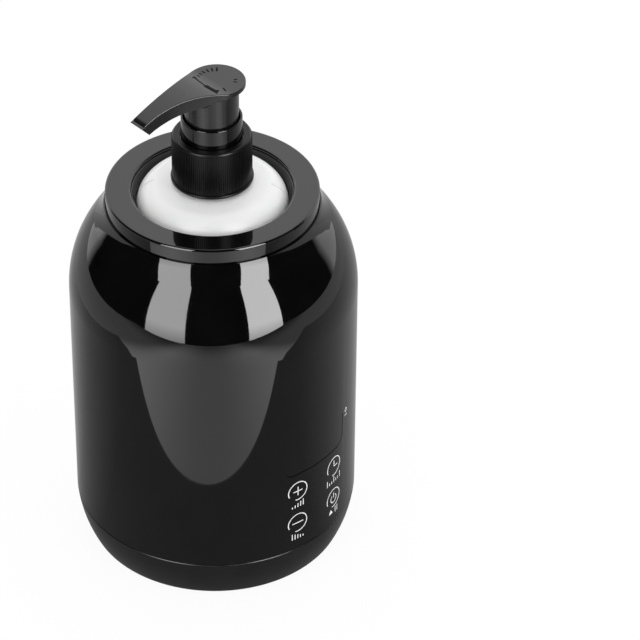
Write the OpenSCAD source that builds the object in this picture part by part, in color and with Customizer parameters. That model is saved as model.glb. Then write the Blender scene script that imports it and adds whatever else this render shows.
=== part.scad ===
// Massage oil warmer: a domed heater with a round well, and the pump bottle that stands in it.
// Millimetres, +Z up. The origin is on the axis at the soles of the feet. The key panel faces -Y.

/* [Body] */
// Outer diameter of the body
body_d = 100; // [96:1:108]
// Wall of the outer shell
shell_wall = 2.4; // [2:0.1:3]
// Height of the seam between the base cover and the shell
seam_z = 16.6; // [15:0.2:19]
// Height at which the straight side turns into the dome
dome_start_z = 104; // [100:1:110]
// Radius of the dome's curve
dome_r = 44.2; // [42:0.2:46]
// Diameter of the base cover's bottom edge
base_d = 91.6; // [90:0.2:95]
// Radius of the base cover's bowed side
base_bow_r = 45; // [35:1:80]
// Radius of the two edges along the seam
seam_edge_r = 0.4; // [0.2:0.05:0.6]
// Thickness of the base cover's floor
floor_t = 2; // [1.6:0.1:2.6]
// Diameter of a foot
foot_d = 12; // [10:0.5:13]
// Height by which the feet lift the base cover
foot_lift = 0.9; // [0.8:0.1:2]

/* [Rim] */
// Width of the rim ring's flat top
rim_w = 8.75; // [7:0.25:9.5]
// Step from the well's wall out to the rim ring's bore
rim_step = 0.25; // [0.2:0.05:1.6]
// Height of the rim ring above the dome
rim_h = 8.2; // [7:0.2:10]
// Height of the shell's lip round the rim ring
rim_lip_h = 2.6; // [2:0.1:3]
// Radius of the hollow between the lip and the dome
rim_lip_blend_r = 20; // [15:1:30]
// Thickness of the shell's neck, on which the rim is screwed
shell_neck_t = 5; // [4:0.5:6]

/* [Heated well] */
// Height of the well's floor, on which the bottle stands
well_floor_z = 10; // [9:0.5:13]
// Gap between the bottle and the well's wall
well_gap = 1.5; // [1:0.1:1.8]
// Wall of the well
well_wall = 1.2; // [1:0.1:1.5]
// Width of the well's flange
flange_w = 3.6; // [3:0.1:4]
// Thickness of the seal on the flange
seal_t = 1.2; // [1:0.1:1.6]
// Thickness of the heating film
film_t = 0.3; // [0.2:0.05:0.5]
// Thickness of the insulation sleeve
sleeve_t = 3.2; // [2.5:0.1:4]

/* [Bottle] */
// Diameter of the bottle at its base
bottle_base_d = 50; // [48:0.5:50.5]
// Growth of the bottle's diameter from its base to its shoulder
bottle_flare = 2; // [0:0.25:2.5]
// Height of the bottle's side
bottle_side_h = 130.5; // [120:0.5:136]
// Wall of the bottle
bottle_wall = 1.2; // [0.9:0.1:1.6]
// Radius of the bottle's shoulder
shoulder_r = 6; // [4:0.5:7]
// Rise from the side's top to the foot of the neck
shoulder_rise = 7.5; // [7:0.25:10]
// Outer diameter of the neck
neck_d = 23.8; // [22:0.1:24]
// Bore of the neck
neck_bore_d = 16.4; // [15.6:0.1:17]
// Height of the neck
neck_h = 13.9; // [12:0.1:16]

/* [Pump] */
// Diameter over the closure's ribs
closure_d = 27.3; // [27:0.1:29]
// Number of ribs round the closure
rib_count = 120; // [60:4:144]
// Thickness of the closure's top
closure_top_t = 1.3; // [1:0.1:1.6]
// Travel of the pump
pump_stroke = 7; // [5:0.5:9]
// Outer diameter of the lock collar's cup
collar_d = 20.8; // [20.4:0.1:21]
// Bore of the pump cylinder
chamber_d = 12; // [11:0.1:12.4]
// Wall of the pump cylinder
chamber_wall = 1.1; // [0.8:0.1:1.2]
// Diameter of the stem
stem_d = 7; // [6:0.1:7.4]
// Bore of the stem
stem_bore_d = 3.6; // [3:0.1:4]
// Length of the piston
piston_l = 7; // [5:0.5:8]
// Length of the return spring at rest
spring_l = 14.8; // [14:0.2:18]
// Turns of the return spring
spring_turns = 6; // [5:1:7]
// Wire of the return spring
spring_wire_d = 0.9; // [0.7:0.05:1]
// Diameter of the valve ball
ball_d = 5; // [4:0.1:5]
// Outer diameter of the dip tube
tube_d = 6; // [5:0.1:6.4]
// Wall of the dip tube
tube_wall = 0.8; // [0.6:0.1:1]

/* [Actuator] */
// Direction of the spout, turned about the axis from +X
spout_turn = 175; // [90:1:180]
// Reach of the spout from the axis
spout_reach = 32.5; // [28:0.5:38]
// Width of the spout's tip
spout_tip_w = 6; // [4.5:0.1:7]
// Radius of the head's round end
head_r = 9.8; // [9.3:0.05:10.2]
// Distance of the round end's centre behind the axis
head_back = 2.3; // [1.6:0.05:3.5]
// Height of the head's flat above the collar's lip
head_rise = 13; // [11:0.2:15]
// Height of the spout's arch above the head's flat
arch_rise = 1.8; // [1:0.1:2.6]
// Distance of the arch's crown from the axis
arch_x = 13; // [11:0.5:15]
// Radius of the spout's arched back
arch_r = 45; // [42:1:60]
// Radius of the hollow between the head's flat and the arch
blend_r = 25; // [15:1:30]
// Depth of the spout under the crown
spout_depth = 4.9; // [4.2:0.1:5.4]
// Radius of the spout's arched underside
under_r = 42; // [36:1:60]
// Diameter of the actuator's skirt
skirt_d = 18.5; // [18:0.1:18.8]
// Bore of the outlet in the spout
outlet_d = 1.8; // [1.4:0.1:2]

/* [Panel] */
// Width of the display window
window_w = 29.2; // [24:0.2:32]
// Height of the display window
window_h = 23; // [20:0.5:24]
// Height of the display window's centre
window_z = 62.2; // [61:0.2:64]
// Distance of a key from the panel's centre line
key_x = 9.2; // [8:0.1:10]
// Height of the upper pair of keys
key_high_z = 43; // [42:0.5:45]
// Height of the lower pair of keys
key_low_z = 28.5; // [28:0.5:31]
// Width of the control board
board_w = 42; // [40:0.5:44]
// Thickness of the control board
board_t = 1.6; // [1.2:0.1:2]
// Width of the display module
module_w = 27; // [22:0.5:28]
// Height of the display module
module_h = 19; // [16:0.5:20]
// Share of the room between sleeve and window that the display module fills
module_share = 0.41; // [0.36:0.01:0.44]

/* [Power inlet] */
// Height of the power inlet's centre
inlet_z = 36; // [34.5:0.5:40]
// Diameter of the inlet's barrel
inlet_d = 8; // [7:0.1:8.4]
// Diameter of the inlet's socket
socket_d = 6.4; // [5.5:0.1:6.6]
// Diameter of a lead
lead_d = 1.6; // [1.2:0.1:1.8]

/* [Hidden] */
$fn = 96;

// Clearances: cut overrun, running fit, face gap, free gap and the gap round a loose piece
cut = 0.5;
fit = 0.05;
face_gap = 0.1;
play = 0.2;
free_gap = 0.4;

// Well made to the bottle's widest part, and the rim made to the well
bottle_base_r = bottle_base_d / 2;
bottle_r = bottle_base_r + bottle_flare / 2;
well_r = bottle_r + well_gap;
rim_bore_r = well_r + rim_step;
rim_r = rim_bore_r + rim_w;

// Body
body_r = body_d / 2;
inner_r = body_r - shell_wall;
dome_c = [body_r - dome_r, dome_start_z];
rim_seat_z = dome_start_z + sqrt(dome_r * dome_r - pow(rim_r - dome_c[0], 2));
rim_top_z = rim_seat_z + rim_h;
shell_neck_z = rim_seat_z - shell_neck_t;
neck_overhang = 2;
rim_lip_in_r = rim_r + play;
rim_lip_w = 0.45;
rim_lip_sink = 0.01;
rim_lip_root = 2;
rim_lip_edge = [rim_lip_in_r + rim_lip_w, rim_seat_z + rim_lip_h];
rim_lip_c = circle_meet(rim_lip_edge, rim_lip_blend_r, dome_c, dome_r + rim_lip_blend_r - rim_lip_sink);
rim_lip_way = (rim_lip_c - dome_c) / norm(rim_lip_c - dome_c);
seam_gap = 0.15;
spigot_h = 4;
spigot_t = 2;
spigot_root = 3;
spigot_r = inner_r - seam_gap;
base_r = base_d / 2;
base_wall = 2.4;
bow_c = circle_meet([base_r, foot_lift], base_bow_r, [body_r, seam_z], base_bow_r);
floor_top_z = foot_lift + floor_t;
foot_r = foot_d / 2;
foot_seat = 1;
foot_inset = 2.2;
foot_circle_r = base_r - foot_r - foot_inset;
foot_angles = [45, 135, 225, 315];
base_boss_wall = 1.5;
base_boss_r = foot_r + base_boss_wall;
boss_below_well = 2;
base_boss_top_z = well_floor_z - boss_below_well;

// Screws: shank radius, head radius and head height
screw_r = 1.25;
screw_head_r = 2.4;
screw_head_h = 1.6;
shell_boss_r = 3.5;
boss_end_t = 2;
boss_rise = 9.4;
boss_rib_t = 2;
boss_rib_gap = 0.6;
screw_tip_gap = 2;
head_bridge = 0.6;
shell_boss_top_z = seam_z + spigot_h + boss_rise;
base_head_seat_z = foot_lift + foot_seat + screw_head_h + head_bridge;

// Well and what wraps it
well_outer_r = well_r + well_wall;
flange_r = well_outer_r + flange_w;
film_in_r = well_outer_r + fit;
film_r = film_in_r + film_t;
shell_bore_gap = 0.6;
shell_bore_r = film_r + shell_bore_gap;
well_bottom_z = well_floor_z - well_wall;
well_corner_r = 4;
film_margin = 8;
film_low_z = well_floor_z + film_margin;
film_high_z = shell_neck_z - film_margin;
film_angle = 344;
sleeve_in_r = film_r + face_gap;
sleeve_r = sleeve_in_r + sleeve_t;
sleeve_gap = 1;
sleeve_low_z = base_boss_top_z + sleeve_gap;
sleeve_high_z = shell_neck_z - sleeve_gap;
pad_overhang = 0.3;
pad_r = well_outer_r + pad_overhang;
pad_ring_t = 1.2;
pad_ring_h = 2.8;
seal_reach = 0.85;
seal_in_r = rim_bore_r - seal_reach;
rim_recess_r = flange_r + play;
rim_recess_z = rim_seat_z + well_wall + seal_t;
rim_screw_circle_r = (rim_recess_r + rim_r) / 2;
rim_screw_r = 1.1;
rim_screw_head_r = 2;
rim_screw_grip = 5;
rim_angles = [30, 150, 270];

// Electronics on the -Y side, measured as distances from the axis
window_gap = 0.2;
window_corner_r = 3.5;
window_lip_t = 1;
window_lip_w = 1.5;
module_gap = 0.3;
module_front_y = sqrt(pow(inner_r - window_lip_t - module_gap, 2) - pow(module_w / 2, 2));
board_front_y = module_front_y - module_share * (module_front_y - sleeve_r);
board_back_y = board_front_y - board_t;
board_low_z = key_low_z - 6;
board_high_z = window_z + window_h / 2 + 8;
board_corner_r = 2;
post_inset = 3.5;
post_hole_l = 5;
post_x = board_w / 2 - post_inset;
post_zs = [board_low_z + post_inset, board_high_z - post_inset];
post_r = 2.8;
touch_coil_r = 2.6;
touch_wire_d = 0.6;
touch_turns = 4;
touch_reach_x = key_x + touch_coil_r + touch_wire_d;
touch_gap = 0.25;
touch_front_y = sqrt(inner_r * inner_r - touch_reach_x * touch_reach_x) - touch_gap;
slot_half_w = 9;
slot_drop = 28;
slot_rise = 8;
slot_low_z = window_z - slot_drop;
slot_high_z = window_z + slot_rise;
plug_gap = 0.9;
plug_h = 8;
heater_plug_w = 9;
heater_plug_h = 6;
chip_t = 1.7;
chip_rise = 13;
buzzer_r = 4.4;
buzzer_share = 0.8;
buzzer_rise = 14;
buzzer_hole = 0.8;
socket_front_y = sleeve_r + plug_gap;
sensor_z = window_z - 12;
heater_plug_z = window_z + 1;

// Power inlet at the back
inlet_r = inlet_d / 2;
inlet_flange_w = 1.4;
inlet_flange_r = inlet_r + inlet_flange_w;
inlet_flange_t = 1;
inlet_sink = 1.1;
inlet_face_y = body_r - inlet_sink;
inlet_seat_y = inlet_face_y - inlet_flange_t;
inlet_pad_t = 2.9;
inlet_pad_rim = 2.2;
inlet_pad_y = inlet_seat_y - inlet_pad_t;
inlet_nut_t = 2;
inlet_block_w = inlet_d + free_gap;
inlet_rear_gap = 1.6;
inlet_rear_y = sleeve_r + inlet_rear_gap;
inlet_block_y = inlet_pad_y - inlet_nut_t - inlet_flange_t;
socket_share = 0.635;
socket_depth = socket_share * (inlet_face_y - inlet_rear_y);
lead_r = lead_d / 2;
lead_split = 1.4;
lead_circle_r = (inlet_rear_y + inlet_block_y) / 2;
plug_w = 8;
plug_inset = 1;
plug_clear = 0.6;
plug_cover = 2 * lead_r;
plug_outer_x = board_w / 2 - plug_inset;
inlet_plug_y = sqrt(pow(lead_circle_r, 2) - pow(plug_outer_x, 2)) - plug_cover;
plug_inner_x = max(plug_outer_x - plug_w, sqrt(max(0, pow(sleeve_r + plug_clear, 2) - pow(inlet_plug_y, 2))));

// Bottle
bottle_z = well_floor_z;
bottle_corner_r = 3;
shoulder_z = bottle_z + bottle_side_h;
neck_z = shoulder_z + shoulder_rise;
neck_r = neck_d / 2;
neck_bore_r = neck_bore_d / 2;
lip_z = neck_z + neck_h;

// Pump, from the lip upwards and downwards
gasket_t = 0.8;
cylinder_flange_t = 1.4;
collar_floor_t = 0.7;
cylinder_flange_z = lip_z + gasket_t;
cylinder_top_z = cylinder_flange_z + cylinder_flange_t;
collar_floor_z = cylinder_top_z + collar_floor_t;
closure_in_z = collar_floor_z + face_gap;
closure_top_z = closure_in_z + closure_top_t;
closure_low_z = neck_z + cut;
closure_r = closure_d / 2;
closure_in_r = neck_r + free_gap;
flange_fit_r = closure_in_r - 0.9;
collar_r = collar_d / 2;
collar_in_r = skirt_d / 2 + 0.35;
closure_hole_r = collar_r + free_gap;
skirt_dip = 1.1;
stop_gap = 0.5;
skirt_low_z = collar_floor_z + stop_gap + pump_stroke;
collar_lip_z = skirt_low_z + skirt_dip;
chamber_r = chamber_d / 2;
stem_r = stem_d / 2;
guide_l = pump_stroke;
guide_low_z = cylinder_top_z - guide_l;
guide_r = chamber_r - play;
piston_top_z = guide_low_z - face_gap;
piston_low_z = piston_top_z - piston_l;
stem_foot_t = 1.2;
stem_foot_r = chamber_r - 1.2;
spring_top_z = piston_low_z - stem_foot_t;
chamber_floor_z = spring_top_z - spring_l;
spring_r = chamber_r - 0.6 - spring_wire_d;
ball_r = ball_d / 2;
cage_r = ball_r + free_gap;
seat_r = ball_r * 0.68;
ball_lift = 2;
ball_rest = 0.15;
cage_lug_t = 0.9;
seat_rise = sqrt(ball_r * ball_r - seat_r * seat_r) + ball_rest;
cage_l = seat_rise + ball_r + ball_lift + cage_lug_t;
seat_z = chamber_floor_z - cage_l;
ball_z = seat_z + seat_rise;
seat_web = 1.2;
tube_r = tube_d / 2;
tube_top_z = seat_z - seat_web;
tube_socket_l = 7;
tube_low_z = bottle_z + bottle_wall + 2.5;
tail_r = max(tube_r, cage_r) + chamber_wall;

// Actuator head, in its own frame: spout along +X, flat at z 0
head_z = collar_lip_z + head_rise;
skirt_r = skirt_d / 2;
skirt_wall = 0.9;
skirt_roof = 5.5;
bowl_drop = 6.6;
bowl_r = 4.6;
socket_wall = 1.6;
stem_top_z = head_z - skirt_roof + 1;
head_c = [-head_back, 0];
spout_tip = [spout_reach, spout_tip_w / 2];
waist_r = 80;
waist_c = circle_meet(head_c, head_r + waist_r, spout_tip, waist_r);
waist_touch = head_c + (waist_c - head_c) * head_r / (head_r + waist_r);
arch_c = [arch_x, arch_rise - arch_r];
blend_x = arch_x - sqrt(arch_rise * (2 * (arch_r + blend_r) - arch_rise));
blend_sink = 0.01;
blend_lap = 1;
blend_c = [blend_x, blend_r - blend_sink];
blend_touch = arch_c + (blend_c - arch_c) * arch_r / (arch_r + blend_r);
spout_root_x = 5;
crown_low = arch_rise - spout_depth;
under_c = [arch_x, crown_low - under_r];
tip_top = arch_c[1] + sqrt(arch_r * arch_r - pow(spout_reach - arch_x, 2));
tip_lean = 3.7;
tip_drop = 4.2;
outlet_r = outlet_d / 2;
outlet_roof = 0.9;
outlet_step = 0.15;
outlet_xs = [arch_x, (arch_x + spout_reach) / 2, spout_reach + 1];
outlet_rs = [for (i = [len(outlet_xs):-1:0]) outlet_r + i * outlet_step];
outlet_points = concat([[0, -outlet_roof - outlet_step - outlet_rs[1]]],
    [for (x = outlet_xs) [x, spout_middle(x)]]);

// Point at distance ra from a and rb from b, on the left of the way from a to b
function circle_meet(a, ra, b, rb) =
    let (d = norm(b - a), along = (d * d + ra * ra - rb * rb) / (2 * d), u = (b - a) / d)
    a + along * u + sqrt(ra * ra - along * along) * [-u[1], u[0]];

// Height of the spout's middle between its arched back and its arched underside
function spout_middle(x) =
    (arch_c[1] + sqrt(arch_r * arch_r - pow(x - arch_x, 2))
    + under_c[1] + sqrt(under_r * under_r - pow(x - arch_x, 2))) / 2;

// Square ring of a revolved piece, between two radii and two heights
module band(r_in, r_out, z_low, z_high) {
    translate([r_in, z_low]) square([r_out - r_in, z_high - z_low]);
}

// Copies of a child at a radius and at each of a list of angles
module round_copies(angles, r) {
    for (a = angles) rotate([0, 0, a]) translate([r, 0, 0]) children();
}

// Rounded rectangle in the plane, centred
module round_rect(w, h, r) {
    square([w - 2 * r, h], center = true);
    square([w, h - 2 * r], center = true);
    for (x = [-1, 1], y = [-1, 1]) translate([x * (w / 2 - r), y * (h / 2 - r)]) circle(r);
}

// Child laid on the panel side: its own X and Y become X and Z, and it runs from y_near to y_far
module towards_panel(y_near, y_far) {
    translate([0, -y_near, 0]) rotate([90, 0, 0]) linear_extrude(height = y_far - y_near) children();
}

// Screw with its head at z 0 downwards and its shank upwards
module screw(shank_r, shank_l, head_r, head_h) {
    difference() {
        translate([0, 0, -head_h]) cylinder(r = head_r, h = head_h);
        translate([0, 0, -head_h - cut]) cylinder(r = head_r * 0.45, h = head_h * 0.6 + cut, $fn = 6);
    }
    translate([0, 0, -head_h * 0.3]) cylinder(r = shank_r, h = shank_l + head_h * 0.3);
}

// Coil of round wire about Z, from the height of its lowest wire to that of its highest
module coil(coil_r, wire_d, length, turns) {
    steps = turns * 10;
    sides = 6;
    rise = length - wire_d;
    ring_points = [for (i = [0:steps], k = [0:sides - 1])
        let (a = 360 * turns * i / steps, b = 360 * k / sides, r = coil_r + wire_d / 2 * cos(b))
        [r * cos(a), r * sin(a), wire_d / 2 + rise * i / steps + wire_d / 2 * sin(b)]];
    side_faces = [for (i = [0:steps - 1], k = [0:sides - 1], half = [0, 1])
        let (n = (k + 1) % sides, p = i * sides, q = p + sides)
        half == 0 ? [p + k, p + n, q + k] : [p + n, q + n, q + k]];
    first_cap = [for (k = [1:sides - 2]) [0, k + 1, k]];
    last_cap = [for (k = [1:sides - 2]) [steps * sides, steps * sides + k, steps * sides + k + 1]];
    polyhedron(ring_points, concat(side_faces, first_cap, last_cap), convexity = 10);
}

// Half section of the body above the seam, drawn in by an inset
module body_section(inset) {
    band(0, body_r - inset, seam_z - cut, dome_start_z);
    intersection() {
        translate(dome_c) circle(dome_r - inset);
        band(0, body_r, dome_start_z - cut, dome_start_z + dome_r);
    }
}

// Half section of the shell's lip round the rim ring, hollowed towards the dome
module rim_lip_section() {
    difference() {
        polygon([[rim_lip_in_r, rim_seat_z - rim_lip_root], [rim_lip_in_r, rim_lip_edge[1]], rim_lip_edge,
            dome_c + rim_lip_way * dome_r, dome_c + rim_lip_way * (dome_r - shell_wall / 2)]);
        translate(rim_lip_c) circle(rim_lip_blend_r, $fn = 360);
    }
}

// Glossy outer shell with its neck, lip, screw bosses, board posts and the openings for window and inlet
module outer_shell() color([0.03, 0.03, 0.035]) {
    difference() {
        union() {
            rotate_extrude() {
                difference() {
                    body_section(0);
                    difference() {
                        body_section(shell_wall);
                        band(0, rim_r + neck_overhang, shell_neck_z, rim_top_z);
                    }
                    band(0, body_r, rim_seat_z, rim_top_z + dome_r);
                    band(0, shell_bore_r, shell_neck_z - cut, rim_top_z);
                    band(0, body_r + cut, seam_z - 2 * cut, seam_z + seam_gap);
                    difference() {
                        band(body_r - seam_edge_r, body_r + cut, seam_z, seam_z + seam_gap + seam_edge_r);
                        translate([body_r - seam_edge_r, seam_z + seam_gap + seam_edge_r]) circle(seam_edge_r);
                    }
                }
                rim_lip_section();
            }
            intersection() {
                rotate_extrude() band(0, body_r - shell_wall / 2, base_boss_top_z, dome_start_z);
                shell_bosses();
            }
        }
        round_copies(foot_angles, foot_circle_r) translate([0, 0, base_boss_top_z - cut])
            cylinder(r = screw_r + fit, h = shell_boss_top_z - base_boss_top_z - boss_end_t + cut);
        round_copies(rim_angles, rim_screw_circle_r) translate([0, 0, shell_neck_z - cut])
            cylinder(r = rim_screw_r + play, h = shell_neck_t + 2 * cut);
        translate([0, 0, window_z]) towards_panel(inner_r / 2, body_r + cut)
            round_rect(window_w + 2 * window_gap, window_h + 2 * window_gap, window_corner_r + window_gap);
        for (x = [-post_x, post_x], z = post_zs) translate([x, -board_front_y + cut, z])
            rotate([90, 0, 0]) cylinder(r = screw_r + fit, h = post_hole_l + cut);
        translate([0, body_r + cut, inlet_z]) rotate([90, 0, 0]) {
            cylinder(r = inlet_flange_r + play, h = body_r + cut - inlet_seat_y);
            cylinder(r = inlet_r + fit, h = body_r);
        }
    }
}

// Bosses inside the shell: base screw bosses with ribs, board posts and the inlet's pad
module shell_bosses() {
    round_copies(foot_angles, foot_circle_r) {
        translate([0, 0, base_boss_top_z])
            cylinder(r = shell_boss_r, h = shell_boss_top_z - base_boss_top_z);
        translate([0, -boss_rib_t / 2, seam_z + spigot_h + boss_rib_gap])
            cube([body_r - foot_circle_r, boss_rib_t, boss_rise - boss_rib_gap]);
    }
    for (x = [-post_x, post_x], z = post_zs) translate([x, -board_front_y, z])
        rotate([90, 0, 0]) cylinder(r = post_r, h = body_r - board_front_y);
    translate([0, body_r, inlet_z]) rotate([90, 0, 0])
        cylinder(r = inlet_flange_r + inlet_pad_rim, h = body_r - inlet_pad_y);
}

// Half section of the bowed base, drawn in by an inset
module base_section(inset, z_low) {
    intersection() {
        translate(bow_c) circle(base_bow_r - inset);
        band(0, body_r, z_low, seam_z);
    }
}

// Room round the shell's screw bosses, from a height upwards
module boss_room(z_low) {
    round_copies(foot_angles, foot_circle_r) translate([0, 0, z_low])
        cylinder(r = shell_boss_r + play, h = shell_boss_top_z - z_low);
}

// Base cover: bowed dish with a spigot on a ledge for the shell, pockets for the feet and a ring round the pad
module base_cover() color([0.05, 0.05, 0.055]) {
    edge_z = seam_z - seam_edge_r;
    edge_x = bow_c[0] + sqrt(pow(base_bow_r - seam_edge_r, 2) - pow(edge_z - bow_c[1], 2));
    difference() {
        union() {
            rotate_extrude() {
                difference() {
                    base_section(0, foot_lift);
                    base_section(base_wall, floor_top_z);
                    band(edge_x, body_r + cut, edge_z, seam_z + cut);
                }
                translate([edge_x, edge_z]) circle(seam_edge_r);
                intersection() {
                    base_section(fit, foot_lift);
                    band(spigot_r - spigot_t, edge_x, seam_z - spigot_root, seam_z);
                }
                band(spigot_r - spigot_t, spigot_r, seam_z - spigot_root, seam_z + spigot_h);
                band(pad_r + play, pad_r + play + pad_ring_t, floor_top_z - cut, floor_top_z + pad_ring_h);
            }
            round_copies(foot_angles, foot_circle_r) translate([0, 0, foot_lift])
                cylinder(r = base_boss_r, h = base_boss_top_z - foot_lift);
        }
        round_copies(foot_angles, foot_circle_r) {
            translate([0, 0, foot_lift - cut]) cylinder(r = foot_r + face_gap, h = foot_seat + cut);
            cylinder(r = screw_head_r + play, h = base_head_seat_z);
            cylinder(r = screw_r + play, h = base_boss_top_z + cut);
        }
        boss_room(base_boss_top_z + play);
    }
}

// Rim ring screwed down on the shell's neck, with a recess for flange and seal
module rim_ring() color([0.04, 0.04, 0.045]) {
    edge_r = 0.8;
    difference() {
        rotate_extrude() difference() {
            union() {
                band(rim_bore_r, rim_r, rim_seat_z, rim_top_z - edge_r);
                band(rim_bore_r + edge_r, rim_r - edge_r, rim_seat_z, rim_top_z);
                for (r = [rim_bore_r + edge_r, rim_r - edge_r])
                    translate([r, rim_top_z - edge_r]) circle(edge_r);
            }
            band(rim_bore_r - cut, rim_recess_r, rim_seat_z - cut, rim_recess_z);
        }
        round_copies(rim_angles, rim_screw_circle_r) translate([0, 0, rim_seat_z - cut])
            cylinder(r = rim_screw_r + fit, h = rim_screw_grip + 2 * cut);
    }
}

// Screws that hold the rim from inside the shell
module rim_screws() color([0.7, 0.7, 0.72]) {
    round_copies(rim_angles, rim_screw_circle_r) translate([0, 0, shell_neck_z])
        screw(rim_screw_r, shell_neck_t + rim_screw_grip, rim_screw_head_r, screw_head_h);
}

// Soft seal clamped between the well's flange and the rim
module well_seal() color([0.08, 0.08, 0.08]) {
    rotate_extrude() {
        band(seal_in_r + seal_t / 2, flange_r, rim_seat_z + well_wall, rim_recess_z);
        translate([seal_in_r + seal_t / 2, rim_seat_z + well_wall + seal_t / 2]) circle(seal_t / 2);
    }
}

// Half section of the well's inside or outside, with a rounded bottom corner
module cup_section(r, z_low, z_high, corner_r) {
    band(0, r - corner_r, z_low, z_high);
    band(0, r, z_low + corner_r, z_high);
    translate([r - corner_r, z_low + corner_r]) circle(corner_r);
}

// Drawn aluminium well, hung by its flange on the shell's neck
module heating_well() color([0.62, 0.62, 0.64]) {
    rotate_extrude() difference() {
        union() {
            cup_section(well_outer_r, well_bottom_z, rim_seat_z + well_wall, well_corner_r);
            band(0, flange_r, rim_seat_z, rim_seat_z + well_wall);
        }
        intersection() {
            cup_section(well_r, well_floor_z, rim_top_z, well_corner_r - well_wall);
            band(0, well_r, well_floor_z, rim_top_z);
        }
        translate([-body_r, 0]) square([body_r, rim_top_z]);
    }
}

// Heating film wrapped round the well, open at the back
module heating_film() color([0.75, 0.45, 0.12]) {
    rotate([0, 0, 90 + (360 - film_angle) / 2]) rotate_extrude(angle = film_angle)
        band(film_in_r, film_r, film_low_z, film_high_z);
}

// Insulating sleeve, with a slot on the panel side for the sensors and leads
module insulation_sleeve() color([0.85, 0.83, 0.78]) {
    difference() {
        rotate_extrude() band(sleeve_in_r, sleeve_r, sleeve_low_z, sleeve_high_z);
        translate([-slot_half_w, -sleeve_r - cut, slot_low_z])
            cube([2 * slot_half_w, sleeve_r, slot_high_z - slot_low_z]);
        boss_room(base_boss_top_z);
    }
}

// Insulating disc that carries the well on the base cover, clear of the cover's bosses
module insulation_pad() color([0.85, 0.83, 0.78]) {
    difference() {
        translate([0, 0, floor_top_z]) cylinder(r = pad_r, h = well_bottom_z - floor_top_z);
        round_copies(foot_angles, foot_circle_r) translate([0, 0, foot_lift])
            cylinder(r = base_boss_r + play, h = well_floor_z - foot_lift);
    }
}

// Round sensor against the film, with a lead from each end to the plug on the board
module film_sensor(x, r, length) {
    y = -sqrt(pow(film_r + fit + r, 2) - x * x);
    translate([x, y, sensor_z]) {
        translate([0, 0, -length / 2]) cylinder(r = r, h = length);
        for (side = [-1, 1]) translate([0, 0, side * length / 2]) sphere(r * 0.98);
        for (side = [-1, 1]) translate([0, 0, side * length * 0.3]) rotate([90, 0, 0])
            cylinder(r = lead_r * 0.6, h = socket_front_y + y);
    }
}

// Temperature sensor of the heater
module thermistor() color([0.1, 0.1, 0.1]) { film_sensor(-4.5, 1.4, 7); }

// Fuse that opens if the well overheats
module thermal_fuse() color([0.9, 0.9, 0.88]) { film_sensor(4.5, 1.6, 8); }

// Two leads from the film to the heater plug on the board
module heater_leads() color([0.7, 0.08, 0.06]) {
    for (x = [-heater_plug_w, heater_plug_w] / 4) translate([x, -film_r - fit, heater_plug_z])
        rotate([90, 0, 0]) cylinder(r = lead_r, h = socket_front_y - film_r - fit);
}

// Dark window set flush in the shell, with a lip behind the wall
module display_window() color([0.02, 0.02, 0.025]) {
    lip_r = inner_r - 0.05;
    translate([0, 0, window_z]) {
        intersection() {
            rotate_extrude() band(lip_r - window_lip_t, body_r, -window_h, window_h);
            towards_panel(inner_r / 2, body_r + cut) round_rect(window_w, window_h, window_corner_r);
        }
        intersection() {
            rotate_extrude() band(lip_r - window_lip_t, lip_r, -window_h, window_h);
            difference() {
                towards_panel(inner_r / 2, body_r + cut) round_rect(window_w + 2 * window_lip_w,
                    window_h + 2 * window_lip_w, window_corner_r + window_lip_w);
                towards_panel(inner_r / 2 - cut, module_front_y + face_gap)
                    square([module_w + 2 * free_gap, module_h + 2 * free_gap], center = true);
            }
        }
    }
}

// Block of numeral segments behind the window
module display_module() color([0.12, 0.12, 0.13]) {
    difference() {
        translate([0, 0, window_z]) towards_panel(board_front_y, module_front_y)
            square([module_w, module_h], center = true);
        for (digit = [-1, 0, 1]) translate([digit * module_w / 3.4, 0, window_z])
            towards_panel(module_front_y - 0.4, module_front_y + cut) for (half = [-1, 1])
                translate([0, half * module_h / 6.5])
                    square([module_w / 5.4, module_h / 4.2], center = true);
    }
}

// Control board with its plugs and chips, screwed to the posts in the shell
module control_board() color([0.05, 0.22, 0.1]) {
    board_h = board_high_z - board_low_z;
    difference() {
        translate([0, 0, board_low_z + board_h / 2]) towards_panel(board_back_y, board_front_y)
            round_rect(board_w, board_h, board_corner_r);
        for (x = [-post_x, post_x], z = post_zs) translate([x, 0, z]) rotate([90, 0, 0])
            cylinder(r = screw_r + play, h = body_r);
    }
    translate([0, 0, sensor_z]) towards_panel(socket_front_y, board_back_y + face_gap)
        square([2 * slot_half_w - 2, plug_h], center = true);
    translate([0, 0, heater_plug_z]) towards_panel(socket_front_y, board_back_y + face_gap)
        square([heater_plug_w, heater_plug_h], center = true);
    translate([-(plug_outer_x + plug_inner_x) / 2, 0, inlet_z])
        towards_panel(inlet_plug_y, board_back_y + face_gap)
            square([plug_outer_x - plug_inner_x, plug_h], center = true);
    translate([0, 0, board_low_z + chip_rise]) towards_panel(board_back_y - chip_t, board_back_y + face_gap)
        square([heater_plug_w, heater_plug_h], center = true);
}

// Screws that hold the board
module board_screws() color([0.75, 0.75, 0.76]) {
    for (x = [-post_x, post_x], z = post_zs) translate([x, -board_back_y, z])
        rotate([90, 0, 0]) screw(screw_r, board_t + post_hole_l - cut, screw_head_r, screw_head_h);
}

// Touch springs that carry each key's field from the board to the shell's inside
module touch_springs() color([0.8, 0.78, 0.7]) {
    for (x = [-key_x, key_x], z = [key_low_z, key_high_z]) translate([x, -board_front_y, z])
        rotate([90, 0, 0]) coil(touch_coil_r, touch_wire_d, touch_front_y - board_front_y, touch_turns);
}

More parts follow.
